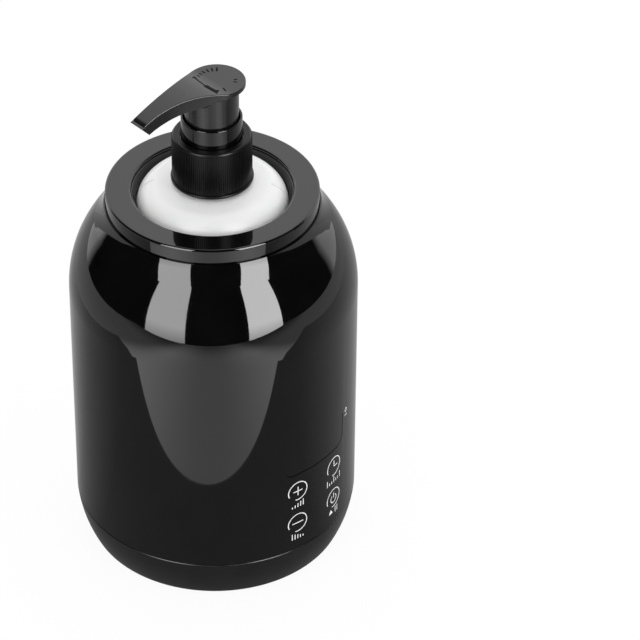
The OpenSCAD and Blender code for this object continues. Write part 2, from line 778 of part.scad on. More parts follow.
// Sounder on the back of the board
module buzzer() color([0.06, 0.06, 0.06]) {
    height = buzzer_share * (board_back_y - sleeve_r);
    translate([board_w / 4 + 1, -board_back_y, board_low_z + buzzer_rise]) rotate([-90, 0, 0]) difference() {
        cylinder(r = buzzer_r, h = height);
        translate([0, 0, height - buzzer_hole]) cylinder(r = 1, h = buzzer_hole + cut);
    }
}

// Barrel socket at the back, with its centre pin and rear block
module power_inlet() color([0.05, 0.05, 0.05]) {
    pin_r = 1;
    difference() {
        union() {
            translate([0, inlet_face_y, inlet_z]) rotate([90, 0, 0]) {
                cylinder(r = inlet_flange_r, h = inlet_flange_t);
                cylinder(r = inlet_r, h = inlet_face_y - inlet_block_y + cut);
            }
            translate([-inlet_block_w / 2, inlet_rear_y, inlet_z - inlet_block_w / 2])
                cube([inlet_block_w, inlet_block_y - inlet_rear_y, inlet_block_w]);
        }
        translate([0, inlet_face_y + cut, inlet_z]) rotate([90, 0, 0])
            cylinder(r = socket_d / 2, h = socket_depth + cut);
    }
    translate([0, inlet_face_y - 1, inlet_z]) rotate([90, 0, 0]) cylinder(r = pin_r, h = socket_depth);
}

// Nut that clamps the inlet to the shell's pad
module inlet_nut() color([0.7, 0.7, 0.72]) {
    translate([0, inlet_pad_y, inlet_z]) rotate([90, 0, 0]) difference() {
        cylinder(r = inlet_r + 2, h = inlet_nut_t, $fn = 6);
        translate([0, 0, -cut]) cylinder(r = inlet_r + fit, h = inlet_nut_t + 2 * cut);
    }
}

// Two leads that run round the well from the inlet to the plug on the board
module inlet_leads() color([0.12, 0.12, 0.12]) {
    near_r = lead_circle_r - lead_r;
    start = 90 + asin((inlet_block_w / 2 + fit) / near_r);
    end = 180 + acos((plug_outer_x + fit) / near_r);
    for (side = [-1, 1]) translate([0, 0, inlet_z + side * lead_split]) rotate([0, 0, start])
        rotate_extrude(angle = end - start) translate([lead_circle_r, 0]) circle(lead_r);
}

// Screws under the feet that hold the base cover to the shell
module base_screws() color([0.7, 0.7, 0.72]) {
    round_copies(foot_angles, foot_circle_r) translate([0, 0, base_head_seat_z])
        screw(screw_r, shell_boss_top_z - base_head_seat_z - boss_end_t - screw_tip_gap,
            screw_head_r, screw_head_h);
}

// Soft feet in the pockets of the base cover
module rubber_feet() color([0.1, 0.1, 0.1]) {
    edge_r = 0.6;
    round_copies(foot_angles, foot_circle_r) rotate_extrude() {
        band(0, foot_r - edge_r, 0, foot_lift + foot_seat);
        band(0, foot_r, edge_r, foot_lift + foot_seat);
        intersection() {
            translate([foot_r - edge_r, edge_r]) circle(edge_r);
            band(0, foot_r, 0, foot_lift);
        }
    }
}

// Half section of the bottle's outside or inside, drawn in by an inset
module bottle_section(inset) {
    base_in = bottle_base_r - inset;
    side_in = bottle_r - inset;
    low = bottle_z + inset;
    corner = bottle_corner_r - inset / 2;
    bend = shoulder_r - inset / 2;
    polygon([[0, low], [base_in - corner, low], [base_in, low + corner], [side_in, shoulder_z],
        [side_in - bend, shoulder_z + bend - inset / 2], [neck_r - inset, neck_z - inset], [0, neck_z - inset]]);
    translate([base_in - corner, low + corner]) circle(corner);
    intersection() {
        translate([side_in - bend, shoulder_z - inset / 2]) circle(bend);
        band(0, side_in, shoulder_z - inset / 2, neck_z);
    }
}

// Blown bottle, slightly narrower at its base, with a plain neck
module bottle() color([0.95, 0.95, 0.94]) {
    rotate_extrude() difference() {
        union() {
            bottle_section(0);
            band(0, neck_r, neck_z - cut, lip_z);
        }
        bottle_section(bottle_wall);
        band(0, neck_bore_r, neck_z - 4, lip_z + cut);
        translate([-body_r, 0]) square([body_r, rim_top_z + body_r]);
    }
}

// Gasket between the bottle's lip and the pump
module neck_gasket() color([0.9, 0.9, 0.86]) {
    rotate_extrude() band(chamber_r + chamber_wall + play, flange_fit_r, lip_z, cylinder_flange_z);
}

// Pump cylinder: flange on the gasket, chamber, ball cage and the socket of the dip tube
module pump_cylinder() color([0.88, 0.88, 0.86]) {
    chamber_out_r = chamber_r + chamber_wall;
    rotate_extrude() difference() {
        union() {
            band(0, flange_fit_r, cylinder_flange_z, cylinder_top_z);
            band(0, chamber_out_r, chamber_floor_z - chamber_wall, cylinder_top_z);
            band(0, tail_r, tube_top_z - tube_socket_l, chamber_floor_z);
        }
        band(0, chamber_r, chamber_floor_z, cylinder_top_z + cut);
        polygon([[0, seat_z], [seat_r, seat_z], [cage_r, seat_z + cage_r - seat_r],
            [cage_r, chamber_floor_z + cut], [0, chamber_floor_z + cut]]);
        band(0, seat_r, tube_top_z - cut, seat_z + cut);
        band(0, tube_r + fit, tube_top_z - tube_socket_l - cut, tube_top_z);
    }
    for (a = [0, 120, 240]) rotate([0, 0, a])
        translate([ball_r * 0.55, -0.6, chamber_floor_z - cage_lug_t])
            cube([cage_r + 0.3 - ball_r * 0.55, 1.2, cage_lug_t]);
}

// Lock collar: cup round the actuator's skirt, flange under the closure and guide for the stem
module lock_collar() color([0.05, 0.05, 0.055]) {
    lip_r = 0.3;
    rotate_extrude() {
        band(stem_r + fit, flange_fit_r, cylinder_top_z, collar_floor_z);
        band(stem_r + fit, guide_r, guide_low_z, collar_floor_z);
        band(collar_in_r, collar_r, collar_floor_z - face_gap, collar_lip_z - lip_r);
        band(collar_in_r + lip_r, collar_r - lip_r, collar_floor_z, collar_lip_z);
        for (r = [collar_in_r + lip_r, collar_r - lip_r]) translate([r, collar_lip_z - lip_r]) circle(lip_r);
    }
}

// Ribbed closure that screws the pump on the neck, with a smooth bead round its lower edge
module closure_cap() color([0.05, 0.05, 0.055]) {
    rib_depth = 0.3;
    rib_sink = 0.15;
    rib_end_gap = 0.2;
    rib_shares = [0.05, 0.25, 0.55, 0.75];
    bead_h = 1.1;
    bead_out = 0.45;
    bead_edge_r = 0.35;
    edge_r = 0.8;
    root_r = closure_r - rib_depth;
    bead_r = closure_r + bead_out;
    edge_z = closure_top_z - edge_r;
    rib_low_z = closure_low_z + bead_h / 2;
    rib_ring = [for (i = [0:rib_count - 1], k = [0:3])
        let (a = 360 * (i + rib_shares[k]) / rib_count, r = k == 0 || k == 3 ? root_r - rib_sink : closure_r)
        [r * cos(a), r * sin(a)]];
    difference() {
        union() {
            translate([0, 0, rib_low_z]) linear_extrude(height = edge_z - rib_end_gap - rib_low_z)
                polygon(rib_ring);
            rotate_extrude() {
                band(0, root_r, closure_low_z, edge_z);
                band(0, root_r - edge_r, edge_z - cut, closure_top_z);
                intersection() {
                    translate([root_r - edge_r, edge_z]) circle(edge_r);
                    band(0, root_r, edge_z - cut, closure_top_z);
                }
                band(0, bead_r - bead_edge_r, closure_low_z, closure_low_z + bead_h);
                band(0, bead_r, closure_low_z + bead_edge_r, closure_low_z + bead_h - bead_edge_r);
                for (z = [bead_edge_r, bead_h - bead_edge_r])
                    translate([bead_r - bead_edge_r, closure_low_z + z]) circle(bead_edge_r);
            }
        }
        translate([0, 0, closure_low_z - cut]) cylinder(r = closure_in_r, h = closure_in_z - closure_low_z + cut);
        translate([0, 0, closure_in_z - cut]) cylinder(r = closure_hole_r, h = closure_top_t + 2 * cut);
    }
}

// Dip tube, cut at a slant at its lower end
module dip_tube() color([0.93, 0.93, 0.9]) {
    difference() {
        translate([0, 0, tube_low_z]) cylinder(r = tube_r, h = tube_top_z - tube_low_z);
        translate([0, 0, tube_low_z - cut]) cylinder(r = tube_r - tube_wall, h = tube_top_z - tube_low_z + 2 * cut);
        translate([0, 0, tube_low_z]) rotate([0, 30, 0]) translate([0, 0, -tube_d]) cube(2 * tube_d, center = true);
    }
}

// Ball that shuts the inlet of the chamber
module valve_ball() color([0.75, 0.75, 0.77]) { translate([0, 0, ball_z]) sphere(ball_r); }

// Return spring between the chamber's floor and the stem's foot
module pump_spring() color([0.72, 0.72, 0.74]) {
    translate([0, 0, chamber_floor_z + fit])
        coil(spring_r, spring_wire_d, spring_l - 2 * fit, spring_turns);
}

// Hollow stem with a foot that carries the piston
module pump_stem() color([0.88, 0.88, 0.86]) {
    difference() {
        rotate_extrude() difference() {
            union() {
                band(0, stem_r, spring_top_z, stem_top_z);
                band(0, stem_foot_r, spring_top_z, piston_low_z);
            }
            band(0, stem_bore_d / 2, piston_low_z + 0.8, stem_top_z + cut);
            translate([-body_r, 0]) square([body_r, 2 * rim_top_z]);
        }
        translate([-stem_d, 0, piston_low_z + 1.9]) rotate([0, 90, 0]) cylinder(r = 0.9, h = 2 * stem_d);
    }
}

// Piston on the stem, waisted between its two lips
module pump_piston() color([0.94, 0.94, 0.93]) {
    lip_h = 1.4;
    rotate_extrude() {
        band(stem_r + fit, chamber_r - fit, piston_low_z, piston_low_z + lip_h);
        band(stem_r + fit, chamber_r - 0.7, piston_low_z, piston_top_z);
        band(stem_r + fit, chamber_r - fit, piston_top_z - lip_h, piston_top_z);
    }
}

// Plan of the head: round end drawn out by two hollow curves into the spout
module head_plan() {
    translate(head_c) circle(head_r);
    difference() {
        polygon([waist_touch, spout_tip, [spout_tip[0], -spout_tip[1]], [waist_touch[0], -waist_touch[1]]]);
        for (side = [-1, 1]) translate([waist_c[0], side * waist_c[1]]) circle(waist_r, $fn = 360);
    }
}

// Side of the head: flat, hollow, arched back and slanted tip
module head_side() {
    behind = head_back + head_r + cut;
    high = arch_rise + cut;
    low = -2 * bowl_drop;
    lean = tip_lean / tip_drop;
    intersection() {
        union() {
            translate([-behind, low]) square([behind + blend_x + blend_lap, -low]);
            difference() {
                translate([blend_x, low]) square([blend_touch[0] - blend_x, high - low]);
                translate(blend_c) circle(blend_r, $fn = 360);
            }
            intersection() {
                translate(arch_c) circle(arch_r, $fn = 360);
                translate([blend_x, low]) square([spout_reach - blend_x + cut, high - low]);
            }
        }
        polygon([[-behind, low], [spout_reach + lean * (low - tip_top), low], [spout_reach, tip_top],
            [spout_reach, high], [-behind, high]]);
    }
}

// Underside of the head: a flare turned about the stem's axis, and the spout's arched underside
module head_under() {
    high = arch_rise + 2 * cut;
    rotate_extrude() {
        difference() {
            band(0, skirt_r + bowl_r, -bowl_drop, -bowl_drop + bowl_r);
            translate([skirt_r + bowl_r, -bowl_drop]) circle(bowl_r);
        }
        band(0, 2 * spout_reach, -bowl_drop + bowl_r, high);
    }
    rotate([90, 0, 0]) linear_extrude(height = 4 * head_r, center = true) difference() {
        translate([spout_root_x, -4 * bowl_drop]) square([spout_reach, high + cut + 4 * bowl_drop]);
        translate(under_c) circle(under_r, $fn = 360);
    }
}

// Stretch of the outlet between two points of the head's middle plane, begun a little before the first
module outlet_bore(from, to, r) {
    run = to - from;
    translate([from[0], 0, from[1]]) rotate([0, 90 - atan2(run[1], run[0]), 0])
        translate([0, 0, -cut]) cylinder(r = r, h = norm(run) + cut);
}

// Actuator: sculpted head and spout, skirt in the lock collar and socket on the stem
module actuator_head() color([0.06, 0.06, 0.065]) {
    roof_z = -skirt_roof;
    low_z = skirt_low_z - head_z;
    socket_top_z = stem_top_z - head_z + face_gap;
    translate([0, 0, head_z]) rotate([0, 0, spout_turn]) difference() {
        union() {
            intersection() {
                translate([0, 0, -2 * bowl_drop]) linear_extrude(height = 4 * bowl_drop) head_plan();
                rotate([90, 0, 0]) linear_extrude(height = 4 * head_r, center = true) head_side();
                head_under();
            }
            translate([0, 0, low_z]) cylinder(r = skirt_r, h = -bowl_drop / 2 - low_z);
        }
        difference() {
            translate([0, 0, low_z - cut]) cylinder(r = skirt_r - skirt_wall, h = roof_z - low_z + cut);
            translate([0, 0, low_z + 2.5]) cylinder(r = stem_r + socket_wall, h = roof_z - low_z);
        }
        translate([0, 0, low_z]) cylinder(r = stem_r + fit, h = socket_top_z - low_z);
        translate([0, 0, low_z]) cylinder(r = outlet_rs[0], h = -outlet_roof - low_z);
        for (i = [1:len(outlet_xs)]) outlet_bore(outlet_points[i - 1], outlet_points[i], outlet_rs[i]);
    }
}

outer_shell();
base_cover();
rim_ring();
rim_screws();
well_seal();
heating_well();
heating_film();
insulation_sleeve();
insulation_pad();
thermistor();
thermal_fuse();
heater_leads();
display_window();
display_module();
control_board();
board_screws();
touch_springs();
buzzer();
power_inlet();
inlet_nut();
inlet_leads();
base_screws();
rubber_feet();
bottle();
neck_gasket();
pump_cylinder();
lock_collar();
closure_cap();
dip_tube();
valve_ball();
pump_spring();
pump_stem();
pump_piston();
actuator_head();
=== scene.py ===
"""Looks of the massage oil warmer: finishes for its solids, printed and raised signs, and the studio.

Lengths in the classes are millimetres, as in the part's source. Meshes are in metres.
"""

import logging
import math
from collections.abc import Callable
from dataclasses import dataclass
from enum import Enum
from functools import cache

import bmesh
import bpy
from mathutils import Matrix, Vector
from mathutils.bvhtree import BVHTree


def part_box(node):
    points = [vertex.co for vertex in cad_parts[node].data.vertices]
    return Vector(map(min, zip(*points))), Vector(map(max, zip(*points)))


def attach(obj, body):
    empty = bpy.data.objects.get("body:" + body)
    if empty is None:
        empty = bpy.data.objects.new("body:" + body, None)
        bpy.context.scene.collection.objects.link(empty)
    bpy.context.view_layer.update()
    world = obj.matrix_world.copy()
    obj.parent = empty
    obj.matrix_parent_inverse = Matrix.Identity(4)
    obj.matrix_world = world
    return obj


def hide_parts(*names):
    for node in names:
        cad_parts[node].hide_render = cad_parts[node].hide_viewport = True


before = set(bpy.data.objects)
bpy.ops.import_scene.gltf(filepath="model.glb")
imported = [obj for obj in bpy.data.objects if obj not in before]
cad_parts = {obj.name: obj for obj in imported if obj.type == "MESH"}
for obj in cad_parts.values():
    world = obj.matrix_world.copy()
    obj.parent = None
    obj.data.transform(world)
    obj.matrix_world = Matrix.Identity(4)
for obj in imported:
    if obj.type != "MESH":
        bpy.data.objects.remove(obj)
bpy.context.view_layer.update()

Pair = tuple[float, float]
Triple = tuple[float, float, float]
Quad = tuple[float, float, float, float]
Colour = Triple
Ramp = Quad
Mesh = bmesh.types.BMesh
Node = bpy.types.Node
Socket = bpy.types.NodeSocket
Tree = bpy.types.NodeTree
Vert = bmesh.types.BMVert

LOG = logging.getLogger("warmer")
MM = 0.001
MERGE = 1e-4
ORIGIN = (0.0, 0.0, 0.0)
UP = (0.0, 0.0, 1.0)


class Body(Enum):
    """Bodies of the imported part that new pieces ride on."""

    WARMER = "warmer"
    BOTTLE = "bottle"
    ACTUATOR = "actuator"


class Slot(Enum):
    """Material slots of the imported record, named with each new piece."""

    SHELL = "shell_black"
    WHITE = "bottle_white"
    STEEL = "spring_steel"
    FOIL = "well_aluminium"
    PUMP = "pump_black"


class Weave(Enum):
    """Ways in which a pattern runs over a piece."""

    ROUND = (6.0, 6.0, 900.0)
    UPRIGHT = (700.0, 700.0, 8.0)


class Sheet:
    """A node tree with short calls that add nodes and wire them."""

    def __init__(self, tree: Tree) -> None:
        """Keeps the tree that the calls work on."""
        self.tree = tree

    @classmethod
    def fresh(cls, owner: bpy.types.Material | bpy.types.World) -> "Sheet":
        """Opens the node tree of a material or world, emptied.

        Args:
            owner: the material or world.

        Returns:
            Its sheet.
        """
        owner.use_nodes = True
        owner.node_tree.nodes.clear()
        return cls(owner.node_tree)

    def add(self, kind: str, *values: object, **settings: object) -> Node:
        """Adds a node, sets its properties and fills its first inputs.

        Args:
            kind: Blender's name of the node type.
            values: values or sockets for its inputs, in their order.
            settings: properties of the node and their values.

        Returns:
            The new node.
        """
        node = self.tree.nodes.new(kind)
        for key, value in settings.items():
            setattr(node, key, value)
        for socket, value in zip(node.inputs, values):
            self.feed(socket, value)
        return node

    def feed(self, socket: Socket, value: object) -> None:
        """Wires an output into a socket, or sets the socket's own value.

        Args:
            socket: input socket to fill.
            value: an output socket, or a plain value.
        """
        if isinstance(value, Socket):
            self.tree.links.new(value, socket)
        else:
            socket.default_value = value

    def fill(self, node: Node, values: dict[str, object]) -> Node:
        """Fills inputs of a node by their names.

        Args:
            node: the node.
            values: values or sockets by the names of the inputs.

        Returns:
            The same node.
        """
        for name, value in values.items():
            self.feed(node.inputs[name], value)
        return node

    def group(self, tree: Tree, values: dict[str, object]) -> Node:
        """Places a shared group and fills its inputs by their names."""
        return self.fill(self.add("ShaderNodeGroup", node_tree=tree), values)

    def close(self, shader: Node, sink: str = "ShaderNodeOutputMaterial") -> None:
        """Wires a shader to the tree's output."""
        self.add(sink, shader.outputs[0])

    def maths(self, operation: str, first: object, second: object = 0.0) -> Socket:
        """Joins two values with a Math node and gives the result."""
        return self.add("ShaderNodeMath", first, second, operation=operation).outputs[0]

    def dot(self, first: object, second: object) -> Socket:
        """Gives the dot product of two vectors."""
        return self.add("ShaderNodeVectorMath", first, second, operation="DOT_PRODUCT").outputs["Value"]

    def span(self, value: Socket, low: float, high: float, first: object, last: object,
             easing: str = "LINEAR") -> Socket:
        """Maps the range from low to high onto that from first to last, and holds the result there."""
        node = self.add("ShaderNodeMapRange", value, low, high, first, last, interpolation_type=easing)
        return node.outputs[0]

    def noise(self, place: Socket, scale: object, detail: float) -> Socket:
        """Gives a cloudy pattern of about 0 to 1, with so many features in a metre and finer layers."""
        node = self.fill(self.add("ShaderNodeTexNoise"), {"Vector": place, "Scale": scale, "Detail": detail})
        return node.outputs[0]

    def tint(self, share: object, first: object, second: object) -> Socket:
        """Mixes two colours.

        Args:
            share: how much of the second colour is taken, 0 to 1.
            first: first colour or socket.
            second: second colour or socket.

        Returns:
            The mixed colour's socket.
        """
        node = self.add("ShaderNodeMix", data_type="RGBA")
        for name, item in (("Factor_Float", share), ("A_Color", first), ("B_Color", second)):
            socket = next(s for s in node.inputs if s.identifier == name)
            self.feed(socket, (*item, 1.0) if isinstance(item, tuple) else item)
        return next(s for s in node.outputs if s.identifier == "Result_Color")


Light = Callable[[Sheet, Socket], Socket]


class SharedEffects:
    """Shader groups that several finishes use, each built once."""

    @staticmethod
    def start(name: str, inputs: tuple[str, ...], outputs: tuple[str, ...]) -> tuple[Sheet, dict, dict]:
        """Opens a new group with named sockets.

        Args:
            name: the group's name.
            inputs: names of value inputs that follow the coordinates.
            outputs: names of value outputs.

        Returns:
            The group's sheet, its input sockets and its output sockets by name.
        """
        tree = bpy.data.node_groups.new(name, "ShaderNodeTree")
        tree.interface.new_socket("Place", in_out="INPUT", socket_type="NodeSocketVector")
        for way, names in (("INPUT", inputs), ("OUTPUT", outputs)):
            for item in names:
                tree.interface.new_socket(item, in_out=way, socket_type="NodeSocketFloat")
        sheet = Sheet(tree)
        ins = {s.name: s for s in sheet.add("NodeGroupInput").outputs if s.name}
        outs = {s.name: s for s in sheet.add("NodeGroupOutput").inputs if s.name}
        return sheet, ins, outs

    @staticmethod
    @cache
    def handling() -> Tree:
        """Smudges left by hands and a little settled dust.

        Returns:
            The group, with outputs Smudge and Speck.
        """
        sheet, ins, outs = SharedEffects.start("handling_marks", ("Smudges", "Specks"), ("Smudge", "Speck"))
        broad = sheet.noise(ins["Place"], ins["Smudges"], 3.0)
        fine = sheet.noise(ins["Place"], sheet.maths("MULTIPLY", ins["Smudges"], 9.0), 2.0)
        patch = sheet.span(broad, 0.48, 0.72, 0.0, 1.0)
        broken = sheet.span(fine, 0.35, 0.7, 0.45, 1.0)
        sheet.feed(outs["Smudge"], sheet.maths("MULTIPLY", patch, broken))
        spread = {"Vector": ins["Place"], "Scale": ins["Specks"]}
        cells = sheet.fill(sheet.add("ShaderNodeTexVoronoi"), spread)
        parts = sheet.add("ShaderNodeSeparateColor", cells.outputs["Color"])
        chosen = sheet.maths("GREATER_THAN", parts.outputs[0], 0.9)
        small = sheet.span(cells.outputs["Distance"], 0.03, 0.1, 1.0, 0.0)
        sheet.feed(outs["Speck"], sheet.maths("MULTIPLY", chosen, small))
        return sheet.tree

    @staticmethod
    @cache
    def grain() -> Tree:
        """Fine grain of a moulded surface and the slow change of tone over it.

        Returns:
            The group, with outputs Height and Tone.
        """
        sheet, ins, outs = SharedEffects.start("moulded_grain", ("Grains",), ("Height", "Tone"))
        coarse = sheet.noise(ins["Place"], ins["Grains"], 2.0)
        fine = sheet.noise(ins["Place"], sheet.maths("MULTIPLY", ins["Grains"], 2.7), 2.0)
        sheet.feed(outs["Height"], sheet.maths("ADD", coarse, sheet.maths("MULTIPLY", fine, 0.5)))
        slow = sheet.noise(ins["Place"], sheet.maths("MULTIPLY", ins["Grains"], 0.04), 3.0)
        sheet.feed(outs["Tone"], sheet.span(slow, 0.35, 0.65, 0.0, 1.0))
        return sheet.tree

    @staticmethod
    @cache
    def lines() -> Tree:
        """Streaks of drawn or polished surfaces; the coordinates are stretched before they come in.

        Returns:
            The group, with outputs Height and Tone.
        """
        sheet, ins, outs = SharedEffects.start("drawn_lines", ("Contrast",), ("Height", "Tone"))
        streak = sheet.noise(ins["Place"], 1.0, 4.0)
        sheet.feed(outs["Height"], sheet.maths("MULTIPLY", streak, ins["Contrast"]))
        sheet.feed(outs["Tone"], sheet.span(streak, 0.38, 0.62, 0.0, 1.0))
        return sheet.tree


@dataclass(frozen=True)
class Finish:
    """Surface of a piece, with grain, handling marks and dust from the shared groups.

    Attributes:
        name: the material's name.
        base: colour of the clean surface.
        worn: colour where it is handled or its tone drifts.
        rough: roughness of clean and of handled places.
        ior: index of refraction.
        grains: grains in a metre.
        relief: depth of the grain.
        dust: how much of the dust's colour a speck shows.
        metal: share of metal.
    """

    SMUDGES = 45.0
    SPECKS = 420.0
    DUST = (0.5, 0.49, 0.47)

    name: str
    base: Colour
    worn: Colour
    rough: Pair
    ior: float = 1.5
    grains: float = 2500.0
    relief: float = 0.004
    dust: float = 0.12
    metal: float = 0.0

    @cache
    def material(self) -> bpy.types.Material:
        """Builds the material once.

        Returns:
            The finished material.
        """
        material = bpy.data.materials.new(self.name)
        sheet = Sheet.fresh(material)
        place = sheet.add("ShaderNodeTexCoord").outputs["Object"]
        wear = {"Place": place, "Smudges": self.SMUDGES, "Specks": self.SPECKS}
        marks = sheet.group(SharedEffects.handling(), wear).outputs
        tone, height = self.pattern(sheet, place)
        clean = sheet.tint(tone, self.base, self.worn)
        bump = sheet.fill(sheet.add("ShaderNodeBump"), {"Distance": self.relief * MM, "Height": height})
        sheet.close(sheet.fill(sheet.add("ShaderNodeBsdfPrincipled"), {
            "Base Color": sheet.tint(sheet.maths("MULTIPLY", marks["Speck"], self.dust), clean, self.DUST),
            "Roughness": sheet.span(marks["Smudge"], 0.0, 1.0, *self.rough),
            "Metallic": self.metal,
            "IOR": self.ior,
            "Normal": bump.outputs[0],
            **self.special(),
        }))
        return material

    def pattern(self, sheet: Sheet, place: Socket) -> tuple[Socket, Socket]:
        """Gives the tone and the height over the surface, from a sheet and its object coordinates."""
        grain = sheet.group(SharedEffects.grain(), {"Place": place, "Grains": self.grains})
        return grain.outputs["Tone"], grain.outputs["Height"]

    def special(self) -> dict[str, object]:
        """Gives the shader's inputs that only this kind of finish sets."""
        return {}


@dataclass(frozen=True)
class DrawnFinish(Finish):
    """Metal or plastic with streaks that run one way.

    Attributes:
        weave: the way that the streaks run.
    """

    weave: Weave = Weave.ROUND

    def pattern(self, sheet: Sheet, place: Socket) -> tuple[Socket, Socket]:
        """Gives the tone and the height of the streaks.

        Args:
            sheet: the material's sheet.
            place: object coordinates.

        Returns:
            Sockets of the tone and of the height.
        """
        along = sheet.fill(sheet.add("ShaderNodeMapping"), {"Vector": place, "Scale": self.weave.value})
        lines = sheet.group(SharedEffects.lines(), {"Place": along.outputs[0], "Contrast": 1.0})
        return lines.outputs["Tone"], lines.outputs["Height"]


@dataclass(frozen=True)
class MilkyFinish(Finish):
    """Translucent white plastic.

    Attributes:
        depth: how far light wanders in it.
        scatter: share of light that wanders.
    """

    WANDER = (1.0, 0.96, 0.9)

    depth: float = 1.0
    scatter: float = 0.25

    def special(self) -> dict[str, object]:
        """Lets light wander a little under the surface."""
        return {"Subsurface Weight": self.scatter, "Subsurface Radius": self.WANDER,
                "Subsurface Scale": self.depth * MM}


@dataclass(frozen=True)
class TracedFinish(Finish):
    """Flat carrier with conductor traces in steps.

    Attributes:
        pitch: distance of the traces.
    """

    TRACE = 0.06

    pitch: float = 2.0

    def pattern(self, sheet: Sheet, place: Socket) -> tuple[Socket, Socket]:
        """Gives the tone and the height of the traces.

        Args:
            sheet: the material's sheet.
            place: object coordinates.

        Returns:
            Sockets of the tone and of the height.
        """
        upright = {"Vector": place, "Rotation": (math.radians(90.0), 0.0, 0.0)}
        turned_place = sheet.fill(sheet.add("ShaderNodeMapping"), upright).outputs[0]
        steps = {"Vector": turned_place, "Scale": 1.0 / (self.pitch * MM), "Mortar Size": self.TRACE}
        trace = sheet.fill(sheet.add("ShaderNodeTexBrick"), steps).outputs["Fac"]
        return trace, sheet.maths("ADD", trace, super().pattern(sheet, place)[1])


class Finishes:
    """Finishes of the warmer, the bottle and the pump."""

    SHELL = Finish("gloss_black_shell", (0.0018, 0.0018, 0.002), (0.0026, 0.0026, 0.0028), (0.03, 0.055),
                   ior=1.58, relief=0.0002, dust=0.03)
    BASE = Finish("satin_black_base", (0.004, 0.004, 0.0042), (0.006, 0.006, 0.0062), (0.22, 0.3),
                  ior=1.55, relief=0.0006, dust=0.05)
    WINDOW = Finish("smoked_window", (0.0018, 0.0018, 0.002), (0.0024, 0.0024, 0.0026), (0.02, 0.04),
                    ior=1.58, relief=0.0001, dust=0.03)
    # Painted shade: near black and hardly reflecting, for the shadow in the gap under the window.
    SHADE = Finish("shadow_gap", (0.0004, 0.0004, 0.0004), (0.0008, 0.0008, 0.0008), (0.8, 0.95),
                   ior=1.08, dust=0.0)
    INK = Finish("white_key_ink", (0.86, 0.86, 0.86), (0.78, 0.78, 0.78), (0.45, 0.55),
                 grains=9000.0, dust=0.0)
    FOIL = DrawnFinish("bare_foil_plate", (0.3, 0.3, 0.31), (0.36, 0.36, 0.37), (0.3, 0.4),
                       metal=0.85, relief=0.002, weave=Weave.UPRIGHT)
    BOTTLE = MilkyFinish("milky_bottle", (0.8, 0.8, 0.795), (0.77, 0.77, 0.76), (0.34, 0.44),
                         grains=1200.0, relief=0.003, dust=0.05, depth=3.0, scatter=0.6)
    NATURAL = MilkyFinish("natural_pump_plastic", (0.78, 0.77, 0.74), (0.7, 0.69, 0.66), (0.38, 0.5),
                          depth=2.0, scatter=0.4)
    RIBS = Finish("satin_black_closure", (0.003, 0.003, 0.0032), (0.005, 0.005, 0.0052), (0.28, 0.36),
                  ior=1.32, relief=0.001)
    HEAD = Finish("satin_black_head", (0.005, 0.005, 0.0052), (0.0075, 0.0075, 0.0078), (0.17, 0.22),
                  ior=1.54, relief=0.0008)
    MARK = Finish("dark_head_marks", (0.003, 0.003, 0.003), (0.005, 0.005, 0.005), (0.55, 0.65),
                  ior=1.15, dust=0.0)
    COLLAR = Finish("gloss_black_collar", (0.0015, 0.0015, 0.0017), (0.0025, 0.0025, 0.0027), (0.06, 0.1),
                    relief=0.0004, dust=0.03)
    SEAL = Finish("black_silicone", (0.012, 0.012, 0.012), (0.03, 0.03, 0.029), (0.5, 0.65),
                  grains=1800.0, relief=0.008)
    WELL = DrawnFinish("dark_anodised_well", (0.05, 0.05, 0.052), (0.09, 0.09, 0.093), (0.3, 0.42), metal=0.9)
    FOOT = Finish("foot_rubber", (0.018, 0.018, 0.018), (0.045, 0.044, 0.042), (0.62, 0.8), relief=0.02)
    INLET = Finish("inlet_black", (0.014, 0.014, 0.014), (0.022, 0.022, 0.022), (0.4, 0.52), relief=0.006)
    STEEL = DrawnFinish("bright_steel", (0.62, 0.62, 0.61), (0.45, 0.45, 0.44), (0.16, 0.3),
                        metal=1.0, relief=0.002, weave=Weave.UPRIGHT)
    ZINC = Finish("zinc_screws", (0.56, 0.56, 0.57), (0.42, 0.42, 0.41), (0.28, 0.42), metal=1.0)
    FILM = TracedFinish("heating_film", (0.42, 0.17, 0.03), (0.5, 0.3, 0.18), (0.3, 0.4), pitch=4.0)
    FELT = Finish("pale_felt", (0.62, 0.58, 0.5), (0.74, 0.71, 0.64), (0.9, 1.0), grains=1600.0, relief=0.25)
    EPOXY = Finish("black_epoxy", (0.02, 0.02, 0.02), (0.035, 0.035, 0.034), (0.35, 0.5), relief=0.01)
    CASE = Finish("white_fuse_case", (0.68, 0.68, 0.65), (0.6, 0.59, 0.55), (0.4, 0.5))
    RED_LEAD = Finish("red_lead", (0.36, 0.015, 0.012), (0.26, 0.012, 0.01), (0.45, 0.55))
    BLACK_LEAD = Finish("black_lead", (0.016, 0.016, 0.016), (0.03, 0.03, 0.03), (0.42, 0.55))
    SEGMENTS = Finish("segment_block", (0.035, 0.035, 0.04), (0.05, 0.05, 0.055), (0.5, 0.6))
    BOARD = TracedFinish("green_board", (0.012, 0.1, 0.04), (0.03, 0.2, 0.08), (0.3, 0.42), pitch=3.0)


def turned(angle: float, axis: str = "Z") -> Matrix:
    """Gives the turn by an angle in degrees about an axis."""
    return Matrix.Rotation(math.radians(angle), 4, axis)


def settle(mesh: Mesh, place: Matrix) -> None:
    """Moves a mesh to its place and takes it from millimetres to metres."""
    bmesh.ops.transform(mesh, matrix=Matrix.Scale(MM, 4) @ place, verts=mesh.verts)


def verts_in(geometry: list) -> list[Vert]:
    """Picks the vertices out of what an operator made."""
    return [item for item in geometry if isinstance(item, Vert)]


